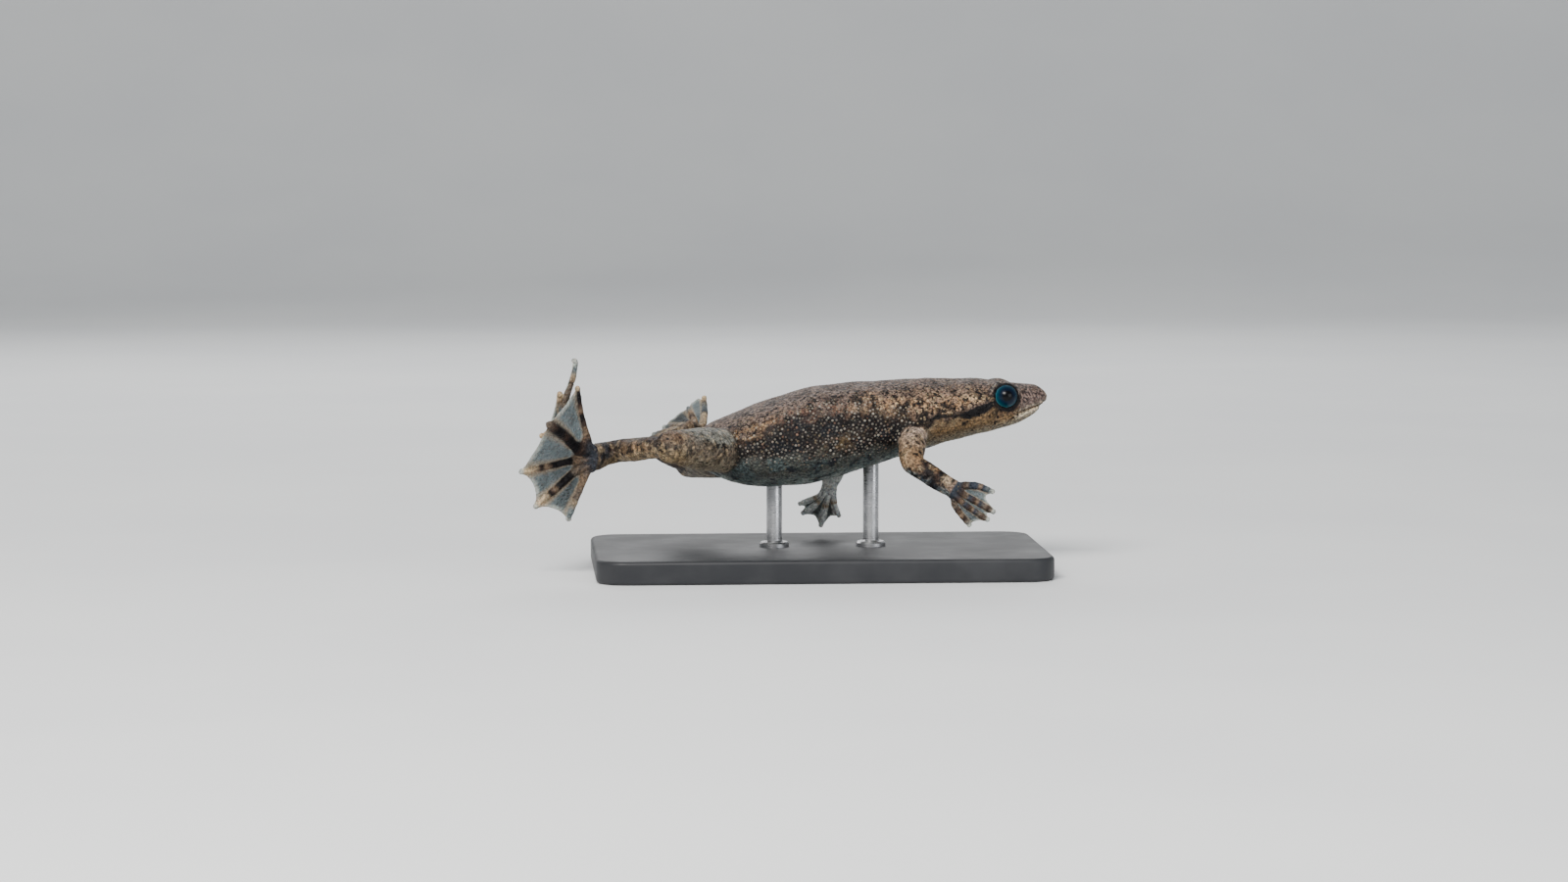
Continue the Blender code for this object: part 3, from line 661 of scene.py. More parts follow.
            if kind == "digit":
                place = spots[number] + across(number) * (radii[number] * value)[:, None]
                half = np.maximum(radii[number] * math.sqrt(max(0.0, 1.0 - value * value)), self.web_half)
                nearest = number
            else:
                left = spots[number] + across(number) * radii[number][:, None]
                right = spots[number + 1] - across(number + 1) * radii[number + 1][:, None]
                place = left + (right - left) * value
                half = np.full(len(shares), self.web_half) * (1.0 + 0.9 * ease(0.9, 1.0, shares))
                nearest = number + round(value)
                shade[index] = self.web_light_and_shade[number]
                membrane[index] = math.sin(math.pi * min(1.0, 2.0 * min(value, 1.0 - value) + 0.2) / 2.0)
            angle = math.pi * index / last
            wrist = point - side * (base.height * math.cos(angle)) + heading * (shares * 2.0)[:, None]
            places[:, index] = wrist + (place - wrist) * settle[:, None]
            wrist_half = base.depth * math.sin(angle)
            halves[:, index] = (wrist_half + (half - wrist_half) * part) * taper
            along[:, index] = reach
            codes[index] = self.code * FAN_CODE_STEP + nearest + 1
        halves[:, 0] = 0.0
        halves[:, last] = 0.0
        facing = self.facing(places, normal, shares)
        phase = np.arange(last + 1)[None, :] * 2.1 + shares[:, None] * 5.0
        wave = np.sin(phase) * self.ripple * membrane[None, :] * ease(0.3, 0.6, shares)[:, None]
        places = places + facing * wave[..., None]
        order = list(range(last + 1)) + list(range(last - 1, -1, -1))
        sign = np.array([1.0] * (last + 1) + [-1.0] * last)
        table = places[:, order] + facing[:, order] * (halves[:, order] * sign)[..., None]
        film = membrane[None, :] * ease(0.2, 0.4, shares)[:, None]
        edge = membrane[None, :] * ease(0.9, 0.985, shares)[:, None]
        piece = laid_grid(
            self.name, table, code=np.repeat(codes[None, order], len(shares), axis=0), along=along[:, order],
            web=film[:, order], edge=edge[:, order], shade=np.repeat(shade[None, order], len(shares), axis=0),
        )
        weld(piece)
        return piece

    def facing(self, places: Array, normal: Array, shares: Array) -> Array:
        """Return the way the upper surface faces at each place of the middle surface."""
        rows, columns = places.shape[:2]
        row_after = np.minimum(np.arange(rows) + 1, rows - 1)
        row_before = np.maximum(np.arange(rows) - 1, 0)
        column_after = np.minimum(np.arange(columns) + self.across_step, columns - 1)
        column_before = np.maximum(np.arange(columns) - self.across_step, 0)
        lengthwise = places[row_after] - places[row_before]
        across = places[:, column_after] - places[:, column_before]
        found = unit(np.cross(lengthwise, across))
        flip = (found @ normal < 0) & (shares < 0.3)[:, None]
        found = np.where(flip[..., None], -found, found)
        share = ease(0.0, 0.3, shares)[:, None, None]
        return unit(mix(normal[None, None, :], found, share))


@dataclass
class EyePlace:
    """Where an eye lies and how the skin opens round it."""

    side: Side
    centre: Place = (18.85, 2.85, 17.85)
    radius: float = 1.22
    turn_forward: float = math.radians(4)
    tilt_up: float = math.radians(7)
    opening: float = math.radians(74)
    orbit_centre: Place = (18.5, 2.3, 17.5)
    orbit_half_sizes: Place = (2.3, 1.82, 1.88)

    def sided(self, x: float, y: float, z: float) -> Vector:
        """Return a place of the left side on the eye's own side."""
        return Vector((x, self.side.value * y, z))

    def middle(self) -> Vector:
        """Return the eye's centre on its side."""
        return self.sided(*self.centre)

    def axis(self) -> Vector:
        """Return the way the eye looks."""
        level = math.cos(self.turn_forward) * math.cos(self.tilt_up)
        return self.sided(math.sin(self.turn_forward), level, math.sin(self.tilt_up)).normalized()

    def orbit(self) -> Piece:
        """Make the bulge of flesh that the eye sits in."""
        centre = self.sided(*self.orbit_centre) * MM
        deselect()
        bpy.ops.mesh.primitive_uv_sphere_add(
            segments=64, ring_count=40, radius=MM, location=centre, scale=self.orbit_half_sizes,
        )
        piece = bpy.context.object
        bpy.ops.object.transform_apply(location=True, rotation=True, scale=True)
        return piece


def frog_limbs() -> dict[str, Limb]:
    """Return the arms, the thighs and the shanks by name, with their rings still to be found."""
    limbs = (
        Limb(
            "arm_right", joints=((9.5, -2.6, 15.3), (8.65, -8.9, 11.7), (12.6, -10.6, 9.25)),
            joint_sizes=((1.7, 1.5), (1.12, 1.15), (0.98, 0.62)), muscle_sizes=((1.48, 1.4), (1.05, 1.0)),
            bends=(1.3,),
        ),
        Limb(
            "arm_left", joints=((8.8, 2.6, 15.0), (2.7, 8.6, 11.0), (1.85, 8.2, 7.75)),
            joint_sizes=((1.7, 1.5), (1.3, 1.2), (0.85, 0.62)), muscle_sizes=((1.5, 1.4), (1.2, 1.1)),
            bends=(1.3,),
        ),
        Limb(
            "thigh_right", joints=((-8.2, -0.8, 12.15), (-15.65, -10.4, 13.62)),
            joint_sizes=((2.2, 2.8), (1.6, 1.5)), muscle_sizes=((2.22, 2.6),), bends=(), round_end=True,
        ),
        Limb(
            "thigh_left", joints=((-8.2, 0.8, 11.9), (-12.8, 11.2, 10.1)),
            joint_sizes=((2.2, 2.7), (1.62, 1.45)), muscle_sizes=((2.15, 2.5),), bends=(), round_end=True,
        ),
        Limb(
            "shank_right", joints=((-16.1, -10.1, 13.6), (-20.9, -1.7, 12.4), (-23.1, -5.1, 12.05)),
            joint_sizes=((1.08, 1.15), (1.2, 0.98), (1.5, 0.75)), muscle_sizes=((1.17, 1.4), (1.4, 0.92)),
            bends=(1.1,),
        ),
        Limb(
            "shank_left", joints=((-13.2, 11.4, 10.3), (-17.0, 3.7, 12.4), (-13.0, 6.0, 13.9)),
            joint_sizes=((1.15, 1.15), (0.98, 0.85), (1.3, 0.75)), muscle_sizes=((1.17, 1.35), (1.05, 0.82)),
            bends=(1.3,),
        ),
    )
    return {limb.name: limb for limb in limbs}


def tone_table(text: str) -> tuple[tuple, ...]:
    """Read rows of a place and its tones, written such as "0 dusk, 0.4 tan"."""
    rows = (row.split() for row in text.split(","))
    return tuple((float(place), *(Tone[tone.upper()] for tone in tones)) for place, *tones in rows)


def right_hand() -> Fan:
    """Return the near hand, reaching forward below the throat."""
    banded = tone_table(
        "0 dusk, 0.22 bark, 0.3 tan, 0.37 dusk, 0.5 bark, 0.56 tan, 0.62 dusk, 0.74 taupe, 0.82 bark,"
        "0.9 taupe, 0.95 pearl"
    )
    first = tone_table(
        "0 dusk, 0.2 bark, 0.3 taupe, 0.36 dusk, 0.54 dusk, 0.62 tan, 0.7 dusk, 0.86 slate, 0.95 pearl"
    )
    last = tone_table("0 bark, 0.3 taupe, 0.42 bark, 0.6 tan, 0.7 bark, 0.82 taupe, 0.95 pearl")
    return Fan(
        "hand_right", 1,
        digits=(
            Digit(((13.95, -11.2, 9.65), (15.1, -11.5, 9.6), (16.75, -11.8, 8.95)), 0.42, 0.24, first),
            Digit(((14.15, -11.1, 8.45), (16.85, -11.7, 6.9)), 0.38, 0.24, banded),
            Digit(((13.75, -10.9, 7.8), (16.3, -11.2, 6.05)), 0.36, 0.24, banded),
            Digit(((13.0, -10.6, 7.35), (14.5, -10.4, 5.4)), 0.36, 0.24, last),
        ),
        webs=(0.76, 0.86, 0.88), web_light_and_shade=(1.0, 1.0, 1.0), web_tone=Tone.FILM, palm_tone=Tone.DUSK,
    )


def left_hand() -> Fan:
    """Return the far hand, spread below the chest."""
    # Painted light: the far hand's digits, palm and web rims are painted near white and its webs darker,
    # standing in for the light from behind.
    pale = tone_table("0 milk, 0.3 milk, 0.46 sand, 0.54 milk, 0.94 milk")
    return Fan(
        "hand_left", 2,
        digits=(
            Digit(((0.6, 8.2, 6.75), (-1.45, 8.5, 5.8)), 0.38, 0.24, pale),
            Digit(((0.75, 8.3, 6.2), (-1.1, 8.7, 4.75)), 0.38, 0.24, pale),
            Digit(((1.4, 8.3, 5.6), (0.9, 8.6, 3.4)), 0.38, 0.24, pale),
            Digit(((2.3, 8.2, 6.0), (2.9, 8.3, 4.45)), 0.38, 0.24, pale),
        ),
        webs=(0.82, 0.8, 0.8), web_light_and_shade=(0.55, 0.55, 0.55), web_tone=Tone.MIST, palm_tone=Tone.MILK,
        rim_tone=Tone.MILK,
    )


def right_foot() -> Fan:
    """Return the near foot, spread wide behind the frog."""
    lowest = tone_table(
        "0 bark, 0.12 tan, 0.36 tan, 0.44 taupe, 0.6 taupe, 0.68 sand, 0.78 slate, 0.9 slate, 0.97 pearl"
    )
    second = tone_table(
        "0 ankle, 0.12 bark, 0.18 tan, 0.29 taupe, 0.33 ink, 0.57 ink, 0.61 tan, 0.66 bark, 0.71 ink,"
        "0.75 sand, 0.9 cream, 0.97 pearl"
    )
    third = tone_table(
        "0 ankle, 0.14 ankle, 0.18 tan, 0.26 tan, 0.29 ink, 0.57 ink, 0.61 tan, 0.66 tan, 0.69 ink,"
        "0.73 bark, 0.77 sand, 0.92 cream, 0.97 pearl"
    )
    fourth = tone_table(
        "0 bark, 0.08 ink, 0.16 ink, 0.22 bark, 0.28 ink, 0.52 ink, 0.6 bark, 0.68 ink, 0.8 ink,"
        "0.87 bark, 1 taupe"
    )
    highest = tone_table(
        "0 ankle, 0.1 ink, 0.18 bark, 0.28 tan, 0.42 bark, 0.49 ink, 0.56 ink, 0.61 tan, 0.7 bark, 0.75 ink,"
        "0.91 ink, 0.95 sand, 1 cream"
    )
    return Fan(
        "foot_right", 3,
        digits=(
            Digit(((-23.6, -5.4, 10.8), (-24.7, -5.3, 8.3), (-25.7, -5.0, 5.65)), 0.38, 0.26, lowest),
            Digit(((-24.4, -5.5, 11.2), (-26.7, -5.8, 9.2), (-29.1, -6.0, 7.1)), 0.44, 0.26, second),
            Digit(((-24.6, -5.7, 12.0), (-27.4, -6.8, 11.5), (-30.6, -7.8, 10.9)), 0.44, 0.26, third),
            Digit(((-24.5, -6.4, 12.95), (-26.0, -9.0, 14.6), (-27.8, -12.0, 16.15)), 0.46, 0.34, fourth),
            Digit(
                ((-23.5, -5.8, 13.8), (-24.0, -6.0, 15.2), (-24.42, -6.2, 17.0), (-24.7, -6.35, 19.45)), 0.38,
                0.25, highest,
            ),
        ),
        webs=(0.88, 0.87, 0.93, 0.93), web_light_and_shade=(0.65, 0.9, 1.35, 1.4), web_tone=Tone.FILM,
        palm_tone=Tone.ANKLE,
    )


def right_foot_fold() -> Fan:
    """Return the slender toes and the web that show behind the near foot's web."""
    knob = tone_table("0 bark, 0.75 slate, 0.88 tan, 0.96 cream")
    hooked = tone_table(
        "0 bark, 0.6 taupe, 0.76 taupe, 0.83 sand, 0.86 slate, 0.92 slate, 0.95 pearl, 1 pearl"
    )
    across = ((-24.65, 13.1), (-26.35, 13.7), (-28.5, 14.4))
    upward = ((-24.6, 13.8), (-25.9, 15.25), (-26.3, 17.2), (-26.45, 18.8))
    highest = (
        (-24.45, 14.0), (-25.65, 15.8), (-25.95, 17.5), (-25.58, 18.75), (-25.1, 20.0), (-24.84, 21.2),
        (-24.82, 21.65), (-24.96, 21.86), (-25.22, 21.78),
    )
    paths = [tuple((x, -5.0, z) for x, z in line) for line in (across, upward, highest)]
    return Fan(
        "foot_fold", 5,
        digits=(
            Digit(paths[0], 0.34, 0.25, knob), Digit(paths[1], 0.32, 0.24, knob),
            Digit(paths[2], 0.46, 0.21, hooked),
        ),
        webs=(0.9, 0.9), web_light_and_shade=(0.9, 0.9), web_tone=Tone.SLATE, palm_tone=Tone.BARK,
    )


def left_foot() -> Fan:
    """Return the far foot, spread behind the hip."""
    grey = tone_table("0 tan, 0.4 sand, 0.7 taupe, 0.85 slate, 0.97 pearl")
    first = tone_table("0 tan, 0.45 sand, 0.6 sand, 0.65 dusk, 0.74 slate, 0.86 taupe, 0.95 cream, 1 cream")
    second = tone_table("0 tan, 0.4 elbow, 0.6 bark, 0.75 elbow, 0.9 slate, 1 slate")
    return Fan(
        "foot_left", 4,
        digits=(
            Digit(((-11.6, 7.2, 14.1), (-11.15, 9.0, 15.2), (-11.1, 11.0, 17.0)), 0.46, 0.25, first),
            Digit(((-12.2, 7.6, 14.3), (-12.4, 10.0, 15.0), (-12.75, 12.3, 15.75)), 0.4, 0.18, second),
            Digit(((-12.9, 7.8, 14.1), (-13.9, 10.4, 13.9), (-15.3, 12.9, 13.6)), 0.5, 0.24, grey),
            Digit(((-13.6, 7.6, 13.8), (-15.0, 10.2, 13.3), (-16.4, 12.8, 12.8)), 0.54, 0.26, grey),
            Digit(((-14.1, 7.2, 13.5), (-15.6, 9.2, 13.0), (-17.2, 11.2, 12.4)), 0.48, 0.26, grey),
        ),
        webs=(1.03, 1.0, 0.93, 0.9), web_light_and_shade=(1.05, 0.3, 0.7, 0.8), web_tone=Tone.FILM,
        palm_tone=Tone.TAUPE,
    )


@dataclass
class Mouth:
    """The line of the mouth, the lips beside it and the nostrils."""

    line: Rows = ((19.9, 16.05), (21.3, 16.53), (22.4, 16.84), (23.3, 17.05))
    groove_depth: float = 0.16
    groove_half: float = 0.1
    lower_lip_height: float = 0.13
    lower_lip_drop: float = 0.34
    lower_lip_half: float = 0.2
    upper_lip_height: float = 0.05
    jaw_shorter: float = 0.42
    nostril: Place = (22.75, 0.72, 18.1)
    nostril_depth: float = 0.2
    nostril_half: float = 0.15

    def rise(self, points: Array) -> Array:
        """Return how far above the mouth line places lie."""
        line = np.array(self.line)
        x = np.clip(points[:, 0], line[0, 0], line[-1, 0])
        return points[:, 2] - curve(line[:, 0], line[:, 1], x)

    def present(self, points: Array) -> Array:
        """Return 1 along the mouth, falling to 0 behind its corner."""
        return ease(self.line[0][0] - 0.35, self.line[0][0] + 0.25, points[:, 0])

    def nostril_distance(self, points: Array) -> Array:
        """Return how far places lie from the nearer nostril."""
        mirrored = points * np.array((1.0, 0.0, 1.0)) + np.abs(points) * np.array((0.0, 1.0, 0.0))
        return norms(mirrored - np.array(self.nostril))

    def lift(self, points: Array) -> Array:
        """Return how far the lips, the mouth line and the nostrils move the skin outwards."""
        rise = self.rise(points)
        here = self.present(points)
        lips = self.lower_lip_height * hump(-self.lower_lip_drop, self.lower_lip_half, rise)
        lips += self.upper_lip_height * hump(0.3, 0.2, rise)
        groove = self.groove_depth * hump(0.0, self.groove_half, rise)
        away = self.nostril_distance(points)
        pits = self.nostril_depth * hump(0.0, self.nostril_half, away)
        rims = 0.05 * hump(0.27, 0.09, away)
        return (lips - groove) * here - pits + rims

    def retreat(self, points: Array) -> Array:
        """Return how far back the lower jaw stays behind the upper one."""
        below = ease(0.0, 0.2, -self.rise(points))
        return self.jaw_shorter * below * ease(22.2, 23.3, points[:, 0])


@dataclass
class Paint:
    """The tone and the marks at each point of the skin, laid in layers."""

    tone: Array
    dark: Array
    worm: Array
    fleck: Array
    dots: Array

    @classmethod
    def blank(cls, count: int, tone: Tone) -> "Paint":
        """Return paint of one tone, without marks."""
        return cls(np.tile(tone.linear(), (count, 1)), *(np.zeros(count) for _ in range(4)))

    def lay(self, tone: Tone, mask: Array) -> None:
        """Lay a tone where a mask says."""
        share = np.clip(mask, 0.0, 1.0)[:, None]
        self.tone = mix(self.tone, tone.linear(), share)

    def shade(self, factor: float, mask: Array) -> None:
        """Darken or brighten the tone where a mask says."""
        share = np.clip(mask, 0.0, 1.0)[:, None]
        self.tone = self.tone * (1.0 + (factor - 1.0) * share)


@dataclass
class BodyMarkings:
    """The bands and zones along the head and body, by height between the underside and the top."""

    trunk: Trunk
    mouth: Mouth
    eyes: tuple[EyePlace, ...]
    band: Rows = (
        (-12.0, 0.66, 0.1, 0.7), (-8.5, 0.72, 0.1, 0.9), (-4.5, 0.8, 0.07, 0.8), (0.0, 0.79, 0.05, 0.6),
        (4.5, 0.78, 0.08, 0.85), (8.0, 0.74, 0.13, 1.0), (11.7, 0.68, 0.17, 1.0), (14.5, 0.66, 0.16, 1.0),
        (16.4, 0.75, 0.1, 1.0), (17.6, 0.74, 0.08, 0.7),
    )
    dark_zone: Rows = (
        (-12.0, 0.42, 0.6), (-8.5, 0.4, 0.66), (-3.5, 0.38, 0.76), (0.0, 0.34, 0.76), (4.5, 0.24, 0.72),
        (8.0, 0.28, 0.62), (10.5, 0.34, 0.5), (11.6, 0.38, 0.38), (12.9, 0.4, 0.3), (15.0, 0.4, 0.3),
        (17.6, 0.5, 0.4),
    )
    stripe: Rows = (
        (9.6, 15.75, 0.45), (11.4, 15.95, 0.3), (12.6, 16.05, 0.27), (13.7, 15.95, 0.25), (14.7, 16.05, 0.46),
        (16.2, 16.65, 0.5), (17.8, 17.15, 0.5),
    )
    blots: Rows = (
        (-3.6, 15.9, 0.36), (-1.2, 17.1, 0.42), (1.1, 18.7, 0.26), (3.9, 17.65, 0.34), (5.1, 17.85, 0.34),
        (5.3, 17.3, 0.28), (7.4, 18.0, 0.26), (8.6, 17.25, 0.4), (8.4, 16.7, 0.3), (10.1, 17.45, 0.4),
        (10.6, 16.3, 0.36), (12.5, 17.15, 0.42), (12.7, 15.5, 0.3), (14.5, 15.3, 0.26), (17.3, 15.95, 0.24),
        (6.6, 18.4, 0.22), (13.4, 18.3, 0.22),
    )
    throat_from: float = 10.2
    head_from: float = 16.6

    def height_share(self, points: Array) -> Array:
        """Return how high places lie: 0 at the underside of the body and 1 at its top."""
        top, under, _, _ = self.trunk.outline(points[:, 0])
        return (points[:, 2] - under) / np.maximum(top - under, 0.3)

    def zone(self, x: Array, height: Array) -> Array:
        """Return how dark the flank is at places along X and heights, from 0 to 1."""
        foot, head = read_rows(self.dark_zone, x)
        soft = 0.03 + 0.03 * ease(9.0, 5.0, x)
        return ease(foot - soft, foot + soft, height) * (1.0 - ease(head - soft, head + soft, height))

    def paint(self, points: Array) -> Paint:
        """Return the body's paint at places on the skin."""
        paint = Paint.blank(len(points), Tone.BELLY)
        x = points[:, 0]
        plain = self.height_share(points)
        height = plain + 0.05 * grain(points, 1.9) + 0.04 * grain(points, 0.7, 7.0)
        middle, half, strength = read_rows(self.band, x)
        foot = read_rows(self.dark_zone, x)[0]
        blotch = grain(points, 1.5, 3.0)
        fine = grain(points, 0.55, 11.0)
        belly = 1.0 - ease(foot - 0.08, foot + 0.04, height)
        throat = ease(self.throat_from - 1.0, self.throat_from + 1.6, x + 1.2 * blotch)
        back = ease(middle, middle + half + 0.02, height)
        paint.lay(Tone.THROAT, throat)
        # Painted light along with the pale underside: the lowest band of the belly is painted much paler, as
        # if lit from below.
        paint.lay(Tone.BELLY_LOW, belly * (1.0 - ease(0.02, 0.2, plain)))
        paint.lay(Tone.TAUPE, 0.5 * belly * ease(0.0, 0.5, blotch) * ease(0.1, 0.3, plain))
        paint.lay(Tone.BELLY_TEAL, 0.55 * belly * ease(0.0, 0.45, grain(points, 1.7, 13.0)))
        paint.lay(
            Tone.BELLY_BLOTCH, 0.85 * ease(0.36, 0.56, grain(points, 0.9, 5.0)) * belly * (1.0 - throat),
        )
        paint.lay(Tone.THROAT_LOW, throat * belly)
        paint.lay(Tone.THROAT, throat * belly * ease(0.06, 0.26, plain))
        paint.lay(Tone.BACK, ease(foot, foot + 0.1, height))
        paint.lay(Tone.BACK_SHADE, 0.7 * back * ease(0.1, 0.6, blotch))
        dark = self.zone(x, height)
        olive = hump(1.8, 1.9, x) * hump(0.42, 0.09, plain) * ease(-0.5, 0.1, fine)
        dark = dark * (1.0 - 0.75 * olive)
        paint.lay(Tone.OLIVE, 0.85 * olive)
        paint.lay(Tone.FLANK, dark)
        paint.lay(Tone.FLANK_BLUE, 0.55 * dark * ease(0.0, 0.6, blotch) * ease(9.0, 6.0, x))
        glow = hump(middle, half, height) * strength
        copper = 1.0 - ease(0.0, 6.5, x)
        rear = 1.0 - ease(-6.0, -3.5, x)
        broken = ease(-0.25, 0.35, grain(points, 0.8, 17.0))
        paint.lay(Tone.COPPER, glow * copper * (1.0 - rear) * broken)
        paint.lay(Tone.GOLD, glow * rear * broken)
        paint.lay(Tone.CREAM, 0.6 * glow * rear * ease(0.3, 0.7, fine))
        paint.lay(Tone.GOLD, glow * (1.0 - copper) * (0.5 + 0.5 * broken))
        paint.lay(Tone.CREAM, 0.6 * glow * (1.0 - copper) * ease(0.15, 0.6, fine))
        paint.lay(Tone.CREAM, 0.8 * hump(15.9, 1.1, x) * hump(0.76, 0.07, height))
        spots = ease(0.38, 0.54, grain(points, 0.95, 31.0))
        edge = hump(middle - half * 0.4, 0.12, height)
        paint.lay(Tone.INK, 0.9 * spots * np.clip(edge + 0.35 * back, 0.0, 1.0))
        level, reach = read_rows(self.stripe, x)
        off = np.abs(points[:, 2] + 0.12 * fine - level) - 0.1 * grain(points, 0.45, 23.0)
        along = ease(9.4, 10.0, x) * (1.0 - ease(17.9, 18.1, x))
        broken = ease(-0.75, -0.45, grain(points, 0.9, 19.0) + 0.5 * ease(13.5, 14.5, x))
        streak = along * broken * (1.0 - ease(reach - 0.06, reach + 0.08, off))
        paint.lay(Tone.INK, streak)
        sideways = ease(0.3, 0.5, np.abs(points[:, 1]) / np.maximum(self.trunk.outline(x)[2], 0.3))
        for place, level, reach in self.blots:
            away = np.hypot(x - place, points[:, 2] - level) + 0.35 * reach * grain(points, 0.5, 29.0)
            paint.lay(Tone.INK, 0.92 * sideways * (1.0 - ease(reach * 0.72, reach * 1.1, away)))
        flank = dark * (1.0 - back)
        upper = ease(foot - 0.02, foot + 0.08, height) * ease(8.0, 10.0, x)
        rich = np.clip(back + glow + upper, 0.0, 1.0) * (1.0 - streak)
        paint.dark += rich + 0.3 * belly + 0.35 * flank
        paint.worm += rich - 0.15 * back + 0.6 * belly + 0.5 * flank + 0.2 * streak
        paint.fleck += 0.4 * flank + 0.4 * back + 0.9 * glow + 0.3 * streak + 0.4 * belly
        paint.dots += throat * belly + 0.25 * belly
        self.paint_head(points, paint, plain, fine)
        return paint

    def paint_head(self, points: Array, paint: Paint, height: Array, fine: Array) -> None:
        """Lay the snout, the cheek, the lips, the painted shade round the eyes and the painted highlight on
        the lids over the body's paint.
        """
        x = points[:, 0]
        rise = self.mouth.rise(points)
        head = ease(self.head_from, self.head_from + 1.4, x)
        above = ease(0.5, 0.62, height)
        paint.lay(Tone.CHEEK, head * ease(0.24, 0.4, height + 0.06 * fine) * 0.9)
        paint.lay(Tone.BACK, head * above * (1.0 - ease(19.6, 21.2, x)))
        paint.lay(Tone.SNOUT, ease(19.4, 21.0, x + 0.3 * fine) * ease(-0.05, 0.2, rise))
        paint.lay(Tone.BACK_SHADE, 0.6 * head * ease(0.0, 0.5, fine) * ease(0.1, 0.5, rise))
        paint.lay(Tone.CREAM, 0.5 * ease(23.1, 23.45, x) * ease(0.2, 0.5, rise))
        here = self.mouth.present(points)
        paint.lay(Tone.LIP, 0.95 * here * hump(-0.36, 0.27, rise))
        paint.lay(Tone.LIP, 0.35 * here * hump(0.26, 0.13, rise))
        paint.lay(Tone.INK, 0.8 * here * hump(0.0, 0.06, rise))
        paint.lay(Tone.INK, hump(0.0, 0.15, self.mouth.nostril_distance(points)))
        for eye in self.eyes:
            centre, axis = np.array(eye.middle()), np.array(eye.axis())
            offset = points - centre
            away = norms(offset)
            depth = offset @ axis
            across = norms(offset - depth[:, None] * axis)
            near = (1.0 - ease(2.3, 2.9, away)) * ease(-0.6, -0.2, depth)
            # Painted shade: an ink ring in the gap round each eye, wider below and in front, where the
            # bulging eye shades the skin.
            low = ease(0.2, 1.0, -offset[:, 2] + 0.25 * offset[:, 0])
            reach = 1.33 + 0.2 * low + 0.05 * fine
            paint.lay(Tone.INK, near * (1.0 - ease(reach, reach + 0.16, across)))
            # Painted highlight: a pale band along the top of the lid ridge, where light from above shows
            # through the thin skin.
            lid = hump(1.62, 0.13, across) * ease(0.2, 0.9, offset[:, 2])
            paint.lay(Tone.MIST, 0.4 * near * lid)
        paint.dark *= 1.0 - 0.35 * ease(20.2, 21.4, x)
        paint.dots *= 1.0 - ease(20.4, 21.4, x)
        paint.worm += 0.3 * head
        paint.fleck *= 1.0 - 0.6 * ease(17.5, 19.0, x)


@dataclass
class LimbMarkings:
    """The tones along one limb: at each joint number a tone above, in the middle and below."""

    stations: tuple[tuple[float, Tone, Tone, Tone], ...]
    dark_dots: float = 0.8
    blotches: float = 0.95
    blotch_from: float = 0.4
    worms: float = 0.7

    def paint(self, mark: Array, upness: Array, points: Array) -> Paint:
        """Return the limb's paint.

        Args:
            mark: The joint number at each point.
            upness: From -1 at the limb's lowest line to 1 at its highest.
            points: The points in millimetres.

        Returns:
            The paint at the points.
        """
        paint = Paint.blank(len(points), Tone.ARM)
        wandering = mark + 0.05 * grain(points, 1.4, 2.0) + 0.03 * grain(points, 0.6, 4.0)
        marks, *layers = zip(*self.stations)
        above, middle, below = (read_tones(marks, layer, wandering) for layer in layers)
        up = upness + 0.25 * grain(points, 1.1, 9.0)
        high = ease(0.1, 0.65, up)[:, None]
        low = ease(0.1, 0.65, -up)[:, None]
        paint.tone = above * high + below * low + middle * (1.0 - high - low)
        mottle = ease(0.1, 0.6, grain(points, 1.1, 6.0))
        paint.shade(0.6, 0.8 * mottle)
        paint.lay(Tone.CREAM, 0.4 * ease(0.3, 0.7, grain(points, 0.6, 47.0)))
        spots = ease(self.blotch_from, self.blotch_from + 0.12, grain(points, 0.6, 41.0))
        paint.lay(Tone.INK, self.blotches * spots)
        paint.dark += self.dark_dots * (0.5 + 0.5 * mottle)
        paint.worm += self.worms
        paint.fleck += 0.3
        return paint


def limb_markings() -> dict[str, LimbMarkings]:
    """Return each limb's tones by the limb's name."""
    arm = tone_table(
        "0 back arm throat, 0.4 arm arm throat_low, 0.85 elbow elbow throat_low, 1.1 gold elbow slate,"
        "1.27 bark bark slate, 1.42 bark ink dusk, 1.5 gold forearm slate, 1.6 bark ink dusk,"
        "1.74 bark bark dusk, 1.84 sand forearm slate, 2 forearm forearm slate"
    )
    # Painted light: the far arm is painted paler towards its hand, standing in for the light from behind it.
    far_arm_backlit = tone_table(
        "0 back arm throat, 0.7 thigh arm mist, 1.1 pearl arm milk, 1.5 milk pearl milk, 2 milk milk milk"
    )
    thigh = tone_table(
        "0 back thigh_middle thigh_low, 0.35 thigh thigh_middle thigh_low, 0.75 thigh thigh_middle thigh_low,"
        "1 shank thigh_middle shank_low"
    )
    shank = tone_table(
        "0 bark thigh_middle shank_low, 0.2 bark elbow shank_low, 0.4 taupe gold shank_low,"
        "0.6 bark elbow shank_low, 0.9 bark taupe shank_low, 1.2 bark taupe shank_low,"
        "1.5 ankle ankle shank_low, 1.75 taupe ankle taupe, 2 taupe ankle taupe"
    )
    far_shank = tone_table(
        "0 thigh_middle thigh_middle bark, 0.6 bark bark bark, 1.2 ankle bark bark, 2 tan tan bark"
    )
    return {
        "arm_right": LimbMarkings(arm), "arm_left": LimbMarkings(far_arm_backlit, 0.3, 0.3, 0.5, 0.3),
        "thigh_right": LimbMarkings(thigh, 1.0, 0.5, 0.42, 0.6),
        "thigh_left": LimbMarkings(thigh, 1.0, 0.5, 0.42, 0.6),
        "shank_right": LimbMarkings(shank, 1.0, 0.85, 0.34, 0.6),
        "shank_left": LimbMarkings(far_shank, 1.0, 0.6, 0.4, 0.5),
    }


